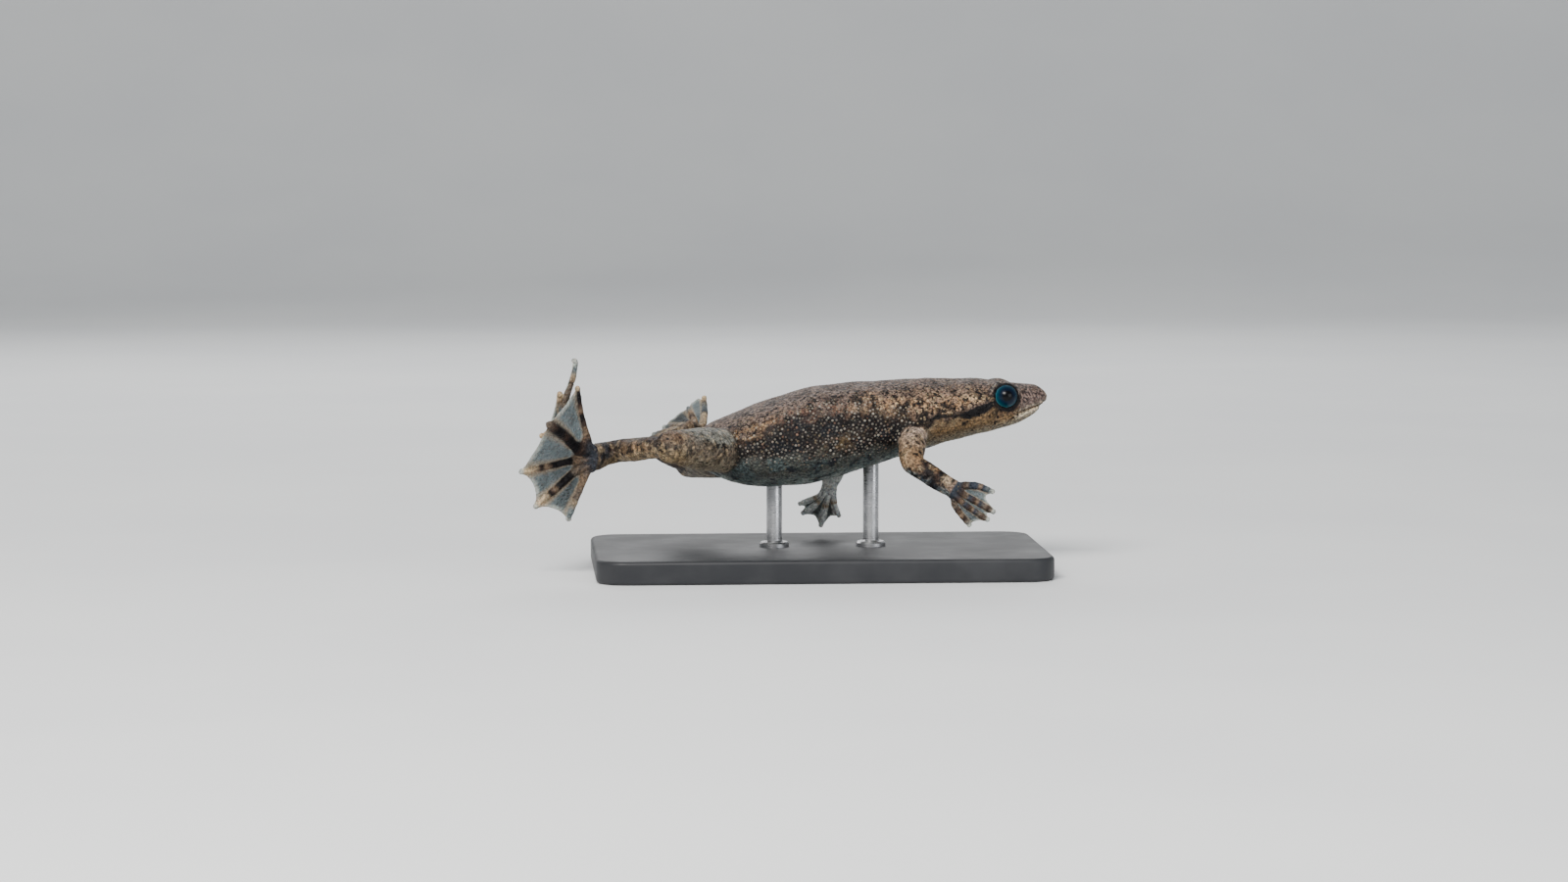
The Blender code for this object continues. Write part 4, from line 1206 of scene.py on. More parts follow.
@dataclass
class Skin:
    """The one skin: trunk, eye bulges and limbs made even, with the webbed hands and feet grown on."""

    trunk: Trunk
    eyes: tuple[EyePlace, ...]
    mouth: Mouth
    limbs: dict[str, Limb]
    fans: dict[str, Fan]
    folds: dict[str, Fan]
    voxel: float = 0.23
    smoothing: int = 5
    head_from: float = 15.6
    mouth_from: float = 19.4
    eye_zone: float = 2.1
    lip_zone: float = 0.55
    nostril_zone: float = 0.5
    cut_along: tuple[float, float] = (-0.5, 1.5)
    cut_across: float = 1.35
    fan_gap: float = 0.15
    fold_gap: float = -0.6
    fold_size: float = 0.45
    fold_behind: float = 0.45
    socket_radius: float = 1.06
    lid_radius: float = 1.34
    lid_spread: float = math.radians(26)
    lid_ridge: float = 0.06
    lid_reach: float = math.radians(112)
    limb_shell: tuple[float, float] = (1.03, 1.14)
    limbs_end: tuple[float, float] = (12.8, 13.6)
    lump_sizes: Rows = ((2.2, 0.05), (0.9, 0.028))
    limb_nodes: tuple[str, ...] = ("upper_arm", "forearm", "thigh", "shank", "tarsus", "hand", "foot")

    def replaced(self) -> list[str]:
        """Return the names of the solids that the skin stands for."""
        return [
            "head", "torso", "pelvis",
            *(f"{part}_{side}" for part in self.limb_nodes for side in ("right", "left")),
        ]

    def find_rings(self) -> None:
        """Work out the rings of every limb, spread like the digits that grow on it."""
        for name, limb in self.limbs.items():
            hint = UP
            if name in self.fans:
                digits = self.fans[name].digits
                hint = (Vector(digits[-1].path[-1]) - Vector(digits[0].path[-1])).normalized()
            limb.find_rings(hint)

    def build(self) -> Piece:
        """Build the whole skin's mesh."""
        self.find_rings()
        pieces = [self.trunk.build()]
        pieces += [eye.orbit() for eye in self.eyes]
        pieces += [limb.build() for limb in self.limbs.values()]
        skin = join("skin", pieces)
        apply_modifier(skin, "even", "REMESH", mode="VOXEL", voxel_size=self.voxel * MM)
        apply_modifier(skin, "soften", "SMOOTH", factor=0.5, iterations=self.smoothing)
        log.info("skin without hands and feet: %d points", len(skin.data.vertices))
        self.refine(skin)
        for name in self.fans:
            self.cut_end(skin, self.limbs[name].rings[-1])
        grown = [fan.build(self.limbs[name].rings[-1].moved(self.fan_gap)) for name, fan in self.fans.items()]
        skin = join("skin", [skin, *grown])
        for name in self.fans:
            self.grow_on(skin, self.limbs[name].rings[-1])
        skin = join("skin", [skin, *(self.build_fold(name) for name in self.folds)])
        self.shape(skin)
        weld(skin)
        smooth_shade(skin)
        return skin

    def build_fold(self, name: str) -> Piece:
        """Build the toes behind one foot as a closed piece with its root inside the ankle."""
        base = self.limbs[name].rings[-1].moved(self.fold_gap, self.fold_size)
        base.point = base.point + Vector((0.0, self.fold_behind, 0.0))
        piece = self.folds[name].build(base)
        _, faces_at = edge_middles(piece)
        select_parts(piece, "EDGE", faces_at == 1)
        bpy.ops.mesh.edge_face_add()
        bpy.ops.mesh.select_all(action="SELECT")
        bpy.ops.mesh.normals_make_consistent(inside=False)
        leave_edit()
        return piece

    def refine(self, skin: Piece) -> None:
        """Subdivide the head once, and the skin round the eyes and the mouth once more."""
        centres = face_centres(skin)
        subdivide(skin, centres[:, 0] > self.head_from)
        centres = face_centres(skin)
        near = np.zeros(len(centres), bool)
        for eye in self.eyes:
            near |= norms(centres - np.array(eye.middle())) < self.eye_zone
        near |= (centres[:, 0] > self.mouth_from) & (np.abs(self.mouth.rise(centres)) < self.lip_zone)
        near |= self.mouth.nostril_distance(centres) < self.nostril_zone
        subdivide(skin, near)

    def cut_end(self, skin: Piece, ring: Ring) -> None:
        """Cut a limb off square at its last ring."""
        offset = face_centres(skin) - np.array(ring.point)
        along = offset @ np.array(ring.heading)
        side = offset @ np.array(ring.side) / ring.height
        depth = offset @ np.array(ring.normal) / ring.depth
        near = (along > self.cut_along[0]) & (along < self.cut_along[1])
        near &= side**2 + depth**2 < self.cut_across**2
        select_parts(skin, "FACE", near)
        bpy.ops.mesh.bisect(
            plane_co=ring.point * MM, plane_no=ring.heading, use_fill=False, clear_outer=True, threshold=1e-7,
        )
        leave_edit()

    def grow_on(self, skin: Piece, ring: Ring) -> None:
        """Bridge the open end of a limb to the open end of its hand or foot, and soften the join."""
        reach = max(ring.height, ring.depth) * 1.3
        middles, faces_at = edge_middles(skin)
        offset = middles - np.array(ring.point)
        along = np.abs(offset @ np.array(ring.heading))
        wanted = (faces_at == 1) & (norms(offset) < reach) & (along < 0.4)
        select_parts(skin, "EDGE", wanted)
        bpy.ops.mesh.bridge_edge_loops()
        leave_edit()
        points = read_points(skin)
        offset = points - np.array(ring.point)
        near = (norms(offset) < reach) & (np.abs(offset @ np.array(ring.heading)) < 0.7)
        select_parts(skin, "VERT", near)
        bpy.ops.mesh.vertices_smooth(factor=0.5, repeat=4)
        leave_edit()

    def shape(self, skin: Piece) -> None:
        """Raise the lumps, the lips and the lids, and sink the mouth line, nostrils and eye sockets."""
        points = read_points(skin)
        normals = read_normals(skin)
        on_fan = read_number(skin, "code") > 0.5
        calm = 1.0 - 0.75 * ease(17.0, 20.0, points[:, 0])
        calm = calm * np.where(on_fan, 0.0, 1.0)
        lift = np.zeros(len(points))
        for number, (size, height) in enumerate(self.lump_sizes):
            lift += height * grain(points, size, 20.0 * number) * calm
        lift += self.mouth.lift(points)
        points = points + normals * lift[:, None]
        points[:, 0] -= self.mouth.retreat(points)
        for eye in self.eyes:
            points = self.open_eye(points, eye)
        write_points(skin, points)

    def open_eye(self, points: Array, eye: EyePlace) -> Array:
        """Sink the skin under one eye and raise the lid round it."""
        centre, axis = np.array(eye.middle()), np.array(eye.axis())
        offset = points - centre
        away = norms(offset)
        heading = unit(offset)
        off_axis = np.arccos(np.clip(heading @ axis, -1.0, 1.0))
        rim = ease(eye.opening, eye.opening + self.lid_spread, off_axis)
        lid = self.lid_radius + (np.maximum(away, self.lid_radius) - self.lid_radius) * rim
        lid = lid + self.lid_ridge * hump(eye.opening + math.radians(9), math.radians(7), off_axis)
        under = 1.0 - ease(eye.opening - math.radians(5), eye.opening, off_axis)
        moved = centre + heading * mix(lid, self.socket_radius, under)[:, None]
        return np.where(((off_axis < self.lid_reach) & (away < 3.0))[:, None], moved, points)

    def regions(self, points: Array) -> tuple[Array, Array, Array, Array]:
        """Return each point's limb number, joint number, height round the limb and weight as limb."""
        rings = [(number, ring) for number, limb in enumerate(self.limbs.values()) for ring in limb.rings]
        tree = kdtree.KDTree(len(rings))
        for index, (_, ring) in enumerate(rings):
            tree.insert(ring.point, index)
        tree.balance()
        limb = np.zeros(len(points), int)
        mark = np.zeros(len(points))
        upness = np.zeros(len(points))
        for index, point in enumerate(points.tolist()):
            _, nearest, _ = tree.find(point)
            number, ring = rings[nearest]
            limb[index] = number
            mark[index] = ring.mark
            offset = Vector(point) - ring.point
            across = offset - ring.heading * offset.dot(ring.heading)
            upness[index] = across.normalized().z if across.length > 1e-6 else 0.0
        off_trunk = ease(*self.limb_shell, self.trunk.fill(points))
        return limb, mark, upness, off_trunk * (1.0 - ease(*self.limbs_end, points[:, 0]))

    def paint(self, skin: Piece, body: BodyMarkings, limbs: dict[str, LimbMarkings]) -> None:
        """Paint the ground tones and the marks over the skin."""
        points = read_points(skin)
        limb, mark, upness, as_limb = self.regions(points)
        paint = body.paint(points)
        for number, name in enumerate(self.limbs):
            here = np.flatnonzero((limb == number) & (as_limb > 0.001))
            own = limbs[name].paint(mark[here], upness[here], points[here])
            share = as_limb[here]
            paint.tone[here] = mix(paint.tone[here], own.tone, share[:, None])
            # Painted shade: the skin is darkened along the crease where the thigh leaves the body.
            if name.startswith("thigh"):
                crease_shade = 4.0 * share * (1.0 - share)
                paint.tone[here] *= (1.0 - 0.7 * crease_shade)[:, None]
            for layer in ("dark", "worm", "fleck", "dots"):
                values = getattr(paint, layer)
                values[here] = mix(values[here], getattr(own, layer), share)
        for fan in (*self.fans.values(), *self.folds.values()):
            self.paint_fan(skin, fan, paint, points)
        write_colour(skin, "ground", np.clip(paint.tone, 0.0, 1.0))
        marks = np.stack((paint.dark, paint.worm, paint.fleck, paint.dots), axis=1)
        write_colour(skin, "marks", np.clip(marks, 0.0, 1.0))

    def paint_fan(self, skin: Piece, fan: Fan, paint: Paint, points: Array) -> None:
        """Paint the bands of one hand's or foot's digits, and the web between them."""
        code, along, web, edge, shade = (
            read_number(skin, name) for name in ("code", "along", "web", "edge", "shade")
        )
        for number, digit in enumerate(fan.digits):
            mine = np.flatnonzero(np.abs(code - (fan.code * FAN_CODE_STEP + number + 1)) < 0.5)
            if not len(mine):
                continue
            places = points[mine]
            bands = read_tones(*zip(*digit.tones), along[mine] + 0.008 * grain(places, 0.5, 3.0))
            bands *= (1.0 + 0.16 * grain(places, 0.35, 8.0))[:, None]
            palm = 1.0 - ease(0.07, 0.25, along[mine] + 0.03 * grain(places, 0.8))
            bands = mix(bands, fan.palm_tone.linear(), palm[:, None])
            between = ease(0.3, 0.75, web[mine])
            cloud = 1.0 + 0.22 * grain(places, 2.2, 5.0) + 0.16 * grain(places, 0.8, 6.0)
            # The shade number carries each web's painted light and shade.
            cloud = cloud * (1.2 - 0.42 * ease(0.66, 1.0, web[mine])) * shade[mine]
            film = fan.web_tone.linear() * cloud[:, None]
            speck = 0.45 * ease(0.5, 0.66, grain(places, 0.5, 12.0))[:, None]
            film = mix(film, Tone.BARK.linear(), speck)
            film = mix(film, Tone.PEARL.linear(), np.clip(edge[mine] * 0.9, 0.0, 1.0)[:, None])
            tone = mix(bands, film, between[:, None])
            rim = 0.6 * hump(0.588, 0.1, web[mine])[:, None] * (1.0 - palm[:, None])
            tone = mix(tone, fan.rim_tone.linear(), rim)
            paint.tone[mine] = mix(paint.tone[mine], tone, ease(0.0, 0.05, along[mine])[:, None])
            paint.dark[mine] = 0.4 * (1.0 - between) * (1.0 - ease(0.25, 0.5, along[mine]))
            paint.worm[mine] = 0.35 - 0.2 * between
            paint.fleck[mine] = 0.3 * palm
            paint.dots[mine] = 0.0


def face_centres(piece: Piece) -> Array:
    """Return the centres of a piece's faces in millimetres."""
    return read_items(piece.data.polygons, "center", 3) / MM


def edge_middles(piece: Piece) -> tuple[Array, Array]:
    """Return the middles of a piece's edges in millimetres, and how many faces each edge has."""
    edges = piece.data.edges
    middles = read_points(piece)[read_items(edges, "vertices", 2, int)].mean(axis=1)
    return middles, np.bincount(read_items(piece.data.loops, "edge_index", kind=int), minlength=len(edges))


def select_parts(piece: Piece, kind: str, wanted: Array) -> None:
    """Enter edit mode with the wanted parts of a piece selected; kind is VERT, EDGE or FACE."""
    mesh = piece.data
    select_only(piece)
    enter_edit()
    bpy.ops.mesh.select_mode(type=kind)
    bpy.ops.mesh.select_all(action="DESELECT")
    leave_edit()
    parts = {"VERT": mesh.vertices, "EDGE": mesh.edges, "FACE": mesh.polygons}[kind]
    parts.foreach_set("select", wanted)
    enter_edit()


def subdivide(piece: Piece, wanted: Array) -> None:
    """Split the wanted faces in four and smooth them lightly."""
    select_parts(piece, "FACE", wanted)
    bpy.ops.mesh.subdivide(number_cuts=1)
    bpy.ops.mesh.vertices_smooth(factor=0.5, repeat=2)
    leave_edit()


@dataclass
class NodeDesk:
    """Adds nodes to one tree and links them."""

    tree: NodeTree

    def add(self, kind: str, settings: dict[str, object] | None = None, **inputs: object) -> Node:
        """Add a node.

        Args:
            kind: The node's type name.
            settings: Properties to set on the node.
            inputs: Values or sockets for its inputs, with _ for a space in an input's name.

        Returns:
            The node.
        """
        node = self.tree.nodes.new(kind)
        for name, value in (settings or {}).items():
            setattr(node, name, value)
        for name, value in inputs.items():
            self.feed(node.inputs[name.replace("_", " ")], value)
        return node

    def feed(self, socket: Socket, value: object) -> None:
        """Link a socket to another, or set its value."""
        if isinstance(value, Socket):
            self.tree.links.new(value, socket)
        else:
            socket.default_value = value

    def sum(self, operation: str, first: object, second: object = 0.0) -> Socket:
        """Add a Math node and return its result."""
        node = self.add("ShaderNodeMath", {"operation": operation})
        self.feed(node.inputs[0], first)
        self.feed(node.inputs[1], second)
        return node.outputs[0]

    def times(self, first: object, *others: object) -> object:
        """Multiply values, one after the other, and return the product."""
        for other in others:
            first = self.sum("MULTIPLY", first, other)
        return first

    def blend(self, share: object, first: object, second: object, way: str = "MIX") -> Socket:
        """Add a colour Mix node and return its result."""
        node = self.add("ShaderNodeMix", {"data_type": "RGBA", "blend_type": way, "clamp_factor": True})
        self.feed(node.inputs[0], share)
        self.feed(node.inputs[6], first)
        self.feed(node.inputs[7], second)
        return node.outputs[2]

    def step(self, value: object, start: object, end: object, low: float = 0.0, high: float = 1.0) -> object:
        """Add a smooth Map Range node and return its result."""
        node = self.add("ShaderNodeMapRange", {"interpolation_type": "SMOOTHSTEP"})
        for socket, given in zip(node.inputs, (value, start, end, low, high)):
            self.feed(socket, given)
        return node.outputs[0]

    def attribute(self, name: str) -> Node:
        """Add a node that reads an attribute of the mesh."""
        return self.add("ShaderNodeAttribute", {"attribute_name": name})

    def group(self, tree: NodeTree, **inputs: object) -> Node:
        """Add a node that uses a group."""
        node = self.tree.nodes.new("ShaderNodeGroup")
        node.node_tree = tree
        for name, value in inputs.items():
            self.feed(node.inputs[name.replace("_", " ")], value)
        return node


@dataclass
class Effects:
    """The effects that the finishes share, each a node group built once."""

    made: dict[str, NodeTree] = field(default_factory=dict)

    def start(self, name: str, inputs: dict[str, float], outputs: tuple[str, ...]) -> NodeDesk:
        """Make a group with its inputs and outputs, and return a desk for its tree."""
        tree = bpy.data.node_groups.new(name, "ShaderNodeTree")
        for socket, value in inputs.items():
            made = tree.interface.new_socket(socket, in_out="INPUT", socket_type="NodeSocketFloat")
            made.default_value = value
        for socket in outputs:
            tree.interface.new_socket(socket, in_out="OUTPUT", socket_type="NodeSocketFloat")
        self.made[name] = tree
        return NodeDesk(tree)

    def speckle(self) -> NodeTree:
        """Return the group of round dots scattered through the surface."""
        if "speckle" not in self.made:
            desk = self.start(
                "speckle", {"Spacing": 0.001, "Size": 0.3, "Softness": 0.3}, ("Mask", "Random", "Dome"),
            )
            given = desk.add("NodeGroupInput").outputs
            place = desk.add("ShaderNodeTexCoord").outputs["Object"]
            scale = desk.sum("DIVIDE", 1.0, given["Spacing"])
            cells = desk.add(
                "ShaderNodeTexVoronoi", {"feature": "F1"}, Vector=place, Scale=scale, Randomness=0.9,
            )
            chance = desk.add("ShaderNodeSeparateColor", Color=cells.outputs["Color"])
            size = desk.times(given["Size"], desk.sum("ADD", 0.55, chance.outputs["Red"]))
            inner = desk.times(size, desk.sum("SUBTRACT", 1.0, given["Softness"]))
            distance = cells.outputs["Distance"]
            put = desk.add("NodeGroupOutput").inputs
            desk.feed(put["Mask"], desk.step(distance, inner, size, 1.0, 0.0))
            desk.feed(put["Random"], chance.outputs["Green"])
            desk.feed(put["Dome"], desk.step(distance, 0.0, size, 1.0, 0.0))
        return self.made["speckle"]

    def mottle(self) -> NodeTree:
        """Return the group of soft, uneven patches."""
        if "mottle" not in self.made:
            desk = self.start(
                "mottle", {"Size": 0.001, "Low": 0.4, "High": 0.6, "Detail": 3.0}, ("Mask", "Value"),
            )
            given = desk.add("NodeGroupInput").outputs
            place = desk.add("ShaderNodeTexCoord").outputs["Object"]
            scale = desk.sum("DIVIDE", 1.0, given["Size"])
            cloud = desk.add(
                "ShaderNodeTexNoise", Vector=place, Scale=scale, Detail=given["Detail"], Roughness=0.55,
            )
            put = desk.add("NodeGroupOutput").inputs
            desk.feed(put["Mask"], desk.step(cloud.outputs["Fac"], given["Low"], given["High"]))
            desk.feed(put["Value"], cloud.outputs["Fac"])
        return self.made["mottle"]


def new_material(name: str) -> tuple[Material, NodeDesk, Node]:
    """Make a material and return it with a desk for its nodes and its Principled BSDF."""
    material = bpy.data.materials.new(name)
    material.use_nodes = True
    return material, NodeDesk(material.node_tree), material.node_tree.nodes["Principled BSDF"]


def set_inputs(shader: Node, **values: float) -> None:
    """Set constants on a shader's own sockets, with _ for a space in a socket's name."""
    for name, value in values.items():
        shader.inputs[name.replace("_", " ")].default_value = value


def add_bump(desk: NodeDesk, shader: Node, height: object, strength: float, depth: float) -> None:
    """Feed a height into the shader's normal, with the depth of its relief in metres."""
    bump = desk.add("ShaderNodeBump", Height=height, Strength=strength, Distance=depth)
    desk.feed(shader.inputs["Normal"], bump.outputs["Normal"])
    desk.feed(shader.inputs["Coat Normal"], bump.outputs["Normal"])


@dataclass(frozen=True)
class SkinFinish:
    """Moist, finely granular skin over painted tones, with ink spots, throat dots and gold flecks."""

    name: str = "frog_skin"
    ink_spacing: float = 0.36 * MM
    ink_blot: float = 0.38 * MM
    worm_size: float = 0.25 * MM
    dot_spacing: float = 0.54 * MM
    fleck_spacing: float = 0.36 * MM
    relief_spacing: float = 0.33 * MM
    mottle_size: float = 0.8 * MM
    relief: float = 0.16 * MM
    specular: float = 0.22
    coat_weight: float = 0.05
    coat_roughness: float = 0.18
    subsurface: float = 0.1
    subsurface_reach: float = 0.0003
    refraction: float = 1.38

    def tone(self, desk: NodeDesk, effects: Effects) -> tuple[object, object, object]:
        """Lay the fine marks over the painted ground, and return the colour, a cloud and a grain."""
        ground = desk.attribute("ground").outputs["Color"]
        painted = desk.attribute("marks")
        marks = desk.add("ShaderNodeSeparateColor", Color=painted.outputs["Color"]).outputs
        granule = desk.attribute("granule").outputs["Fac"]
        plain = desk.sum("SUBTRACT", 1.0, desk.times(granule, 0.6))
        cloud = desk.group(effects.mottle(), Size=self.mottle_size, Low=0.35, High=0.65)
        worm = desk.group(effects.mottle(), Size=self.worm_size, Low=0.36, High=0.64, Detail=2.0)
        shaded = desk.times(cloud.outputs["Mask"], 0.3)
        tone = desk.blend(shaded, ground, (0.55, 0.53, 0.52, 1.0), "MULTIPLY")
        gaps = desk.sum("SUBTRACT", 1.0, worm.outputs["Mask"])
        tone = desk.blend(desk.times(gaps, marks["Green"], 0.9), tone, (0.24, 0.22, 0.25, 1.0), "MULTIPLY")
        ridges = desk.times(worm.outputs["Mask"], marks["Green"], 0.85)
        tone = desk.blend(ridges, tone, (2.3, 2.15, 2.0, 1.0), "MULTIPLY")
        spot = desk.group(effects.speckle(), Spacing=self.ink_spacing, Size=0.34, Softness=0.5)
        few = desk.step(spot.outputs["Random"], 0.4, 0.6)
        blot = desk.group(effects.mottle(), Size=self.ink_blot, Low=0.55, High=0.61, Detail=1.5)
        ink = desk.sum("MAXIMUM", desk.times(spot.outputs["Mask"], few), blot.outputs["Mask"])
        tone = desk.blend(desk.times(ink, marks["Red"], plain, 0.95), tone, Tone.INK.colour())
        dot = desk.group(effects.speckle(), Spacing=self.dot_spacing, Size=0.3, Softness=0.3)
        kept = desk.step(dot.outputs["Random"], 0.45, 0.5)
        dots = desk.times(dot.outputs["Mask"], kept, painted.outputs["Alpha"], 0.9)
        tone = desk.blend(dots, tone, Tone.INK.colour())
        fleck = desk.group(effects.speckle(), Spacing=self.fleck_spacing, Size=0.3, Softness=0.5)
        bright = desk.step(fleck.outputs["Random"], 0.6, 0.75)
        gold = desk.times(fleck.outputs["Mask"], bright, marks["Blue"], plain, 0.7)
        tone = desk.blend(gold, tone, Tone.CREAM.colour())
        return tone, cloud.outputs["Value"], worm.outputs["Value"]

    def make(self, effects: Effects) -> Material:
        """Build the material."""
        material, desk, shader = new_material(self.name)
        tone, cloud, grain_value = self.tone(desk, effects)
        desk.feed(shader.inputs["Base Color"], tone)
        desk.feed(shader.inputs["Roughness"], desk.step(cloud, 0.3, 0.7, 0.54, 0.72))
        grains = desk.group(effects.speckle(), Spacing=self.relief_spacing, Size=0.5, Softness=0.9)
        height = desk.sum("ADD", grains.outputs["Dome"], grain_value)
        add_bump(desk, shader, height, 0.8, self.relief)
        set_inputs(shader, Specular_IOR_Level=self.specular, IOR=self.refraction)
        set_inputs(shader, Coat_Weight=self.coat_weight, Coat_Roughness=self.coat_roughness)
        set_inputs(shader, Subsurface_Weight=self.subsurface, Subsurface_Scale=self.subsurface_reach)
        return material


@dataclass(frozen=True)
class EyeFinish:
    """A glossy eye: black pupil, navy ring, blue green iris and a dark border, with painted shade away from
    its lit lower rear side.
    """

    name: str = "frog_eye"
    rings: tuple[tuple[float, tuple[float, float, float]], ...] = (
        (0.0, (0.001, 0.001, 0.002)), (0.46, (0.001, 0.001, 0.003)), (0.54, (0.003, 0.009, 0.02)),
        (0.76, (0.002, 0.014, 0.034)), (0.84, (0.003, 0.028, 0.045)), (1.02, (0.006, 0.055, 0.078)),
        (1.08, (0.035, 0.15, 0.175)), (1.12, (0.006, 0.025, 0.03)), (1.15, (0.002, 0.003, 0.004)),
    )
    widest: float = 1.3

    def make(self, effects: Effects) -> Material:
        """Build the material, which reads the distance from the gaze line in millimetres."""
        material, desk, shader = new_material(self.name)
        radius = desk.attribute("iris_radius").outputs["Fac"]
        streaks = desk.group(effects.mottle(), Size=0.22 * MM, Low=0.3, High=0.7)
        waver = desk.times(desk.sum("SUBTRACT", streaks.outputs["Value"], 0.5), 0.16)
        wavering = desk.sum("ADD", radius, waver)
        ramp = desk.add("ShaderNodeValToRGB", Fac=desk.sum("DIVIDE", wavering, self.widest))
        elements = ramp.color_ramp.elements
        while len(elements) < len(self.rings):
            elements.new(0.5)
        for element, (place, colour) in zip(elements, self.rings):
            element.position = place / self.widest
            element.color = (*colour, 1.0)
        tone = desk.blend(streaks.outputs["Mask"], ramp.outputs["Color"], (0.6, 0.75, 0.8, 1.0), "MULTIPLY")
        # Painted shade: the iris is darkened and tinted blue away from its lit lower rear side, and left
        # bright where the light through the cornea falls.
        unlit_side = desk.sum("SUBTRACT", 1.0, desk.attribute("glow").outputs["Fac"])
        tone = desk.blend(desk.times(unlit_side, 0.8), tone, (0.25, 0.3, 0.45, 1.0), "MULTIPLY")
        desk.feed(shader.inputs["Base Color"], tone)
        set_inputs(
            shader, Roughness=0.3, Specular_IOR_Level=0.2, Coat_Weight=0.12, Coat_Roughness=0.05, IOR=1.34,
        )
        return material


@dataclass(frozen=True)
class PaintFinish:
    """Satin charcoal paint with a fine orange peel and paler patches."""

    name: str = "stand_paint"
    colour: Colour = (0.022, 0.023, 0.026, 1.0)
    worn: Colour = (0.034, 0.035, 0.038, 1.0)
    specular: float = 0.3

    def make(self, effects: Effects) -> Material:
        """Build the material."""
        material, desk, shader = new_material(self.name)
        cloud = desk.group(effects.mottle(), Size=6 * MM, Low=0.4, High=0.7)
        peel = desk.group(effects.mottle(), Size=0.35 * MM, Low=0.3, High=0.7, Detail=1.0)
        desk.feed(shader.inputs["Base Color"], desk.blend(cloud.outputs["Mask"], self.colour, self.worn))
        desk.feed(shader.inputs["Roughness"], desk.step(cloud.outputs["Value"], 0.3, 0.7, 0.42, 0.56))
        add_bump(desk, shader, peel.outputs["Value"], 0.25, 0.03 * MM)
        set_inputs(shader, Specular_IOR_Level=self.specular)
        return material


@dataclass(frozen=True)
class SteelFinish:
    """Brushed steel, with fine rings round the rods."""

    name: str = "rod_steel"
    colour: Colour = (0.55, 0.55, 0.56, 1.0)
    stretch: tuple[float, float, float] = (1.0, 1.0, 14.0)

    def make(self, effects: Effects) -> Material:
        """Build the material."""
        material, desk, shader = new_material(self.name)
        place = desk.add("ShaderNodeTexCoord").outputs["Object"]
        stretched = desk.add("ShaderNodeMapping", Vector=place, Scale=self.stretch)
        lines = desk.add("ShaderNodeTexNoise", Vector=stretched.outputs[0], Scale=900.0, Detail=4.0)
        cloud = desk.group(effects.mottle(), Size=2 * MM, Low=0.35, High=0.7)
        tone = desk.blend(cloud.outputs["Mask"], self.colour, (0.42, 0.42, 0.43, 1.0))
        desk.feed(shader.inputs["Base Color"], tone)
        set_inputs(shader, Metallic=1.0)
        desk.feed(shader.inputs["Roughness"], desk.step(lines.outputs["Fac"], 0.3, 0.7, 0.24, 0.42))
        add_bump(desk, shader, lines.outputs["Fac"], 0.2, 0.01 * MM)
        return material


@dataclass(frozen=True)
class PlasterFinish:
    """The pale matt floor and backdrop."""

    name: str = "studio_floor"
    colour: Colour = (0.8, 0.81, 0.81, 1.0)

    def make(self, effects: Effects) -> Material:
        """Build the material."""
        material, desk, shader = new_material(self.name)
        cloud = desk.group(effects.mottle(), Size=60 * MM, Low=0.3, High=0.7)
        tone = desk.blend(cloud.outputs["Mask"], self.colour, (0.76, 0.77, 0.78, 1.0))
        desk.feed(shader.inputs["Base Color"], tone)
        set_inputs(shader, Roughness=0.85)
        return material


def dress(piece: Piece, material: Material) -> None:
    """Give a piece one material."""
    piece.data.materials.clear()
    piece.data.materials.append(material)


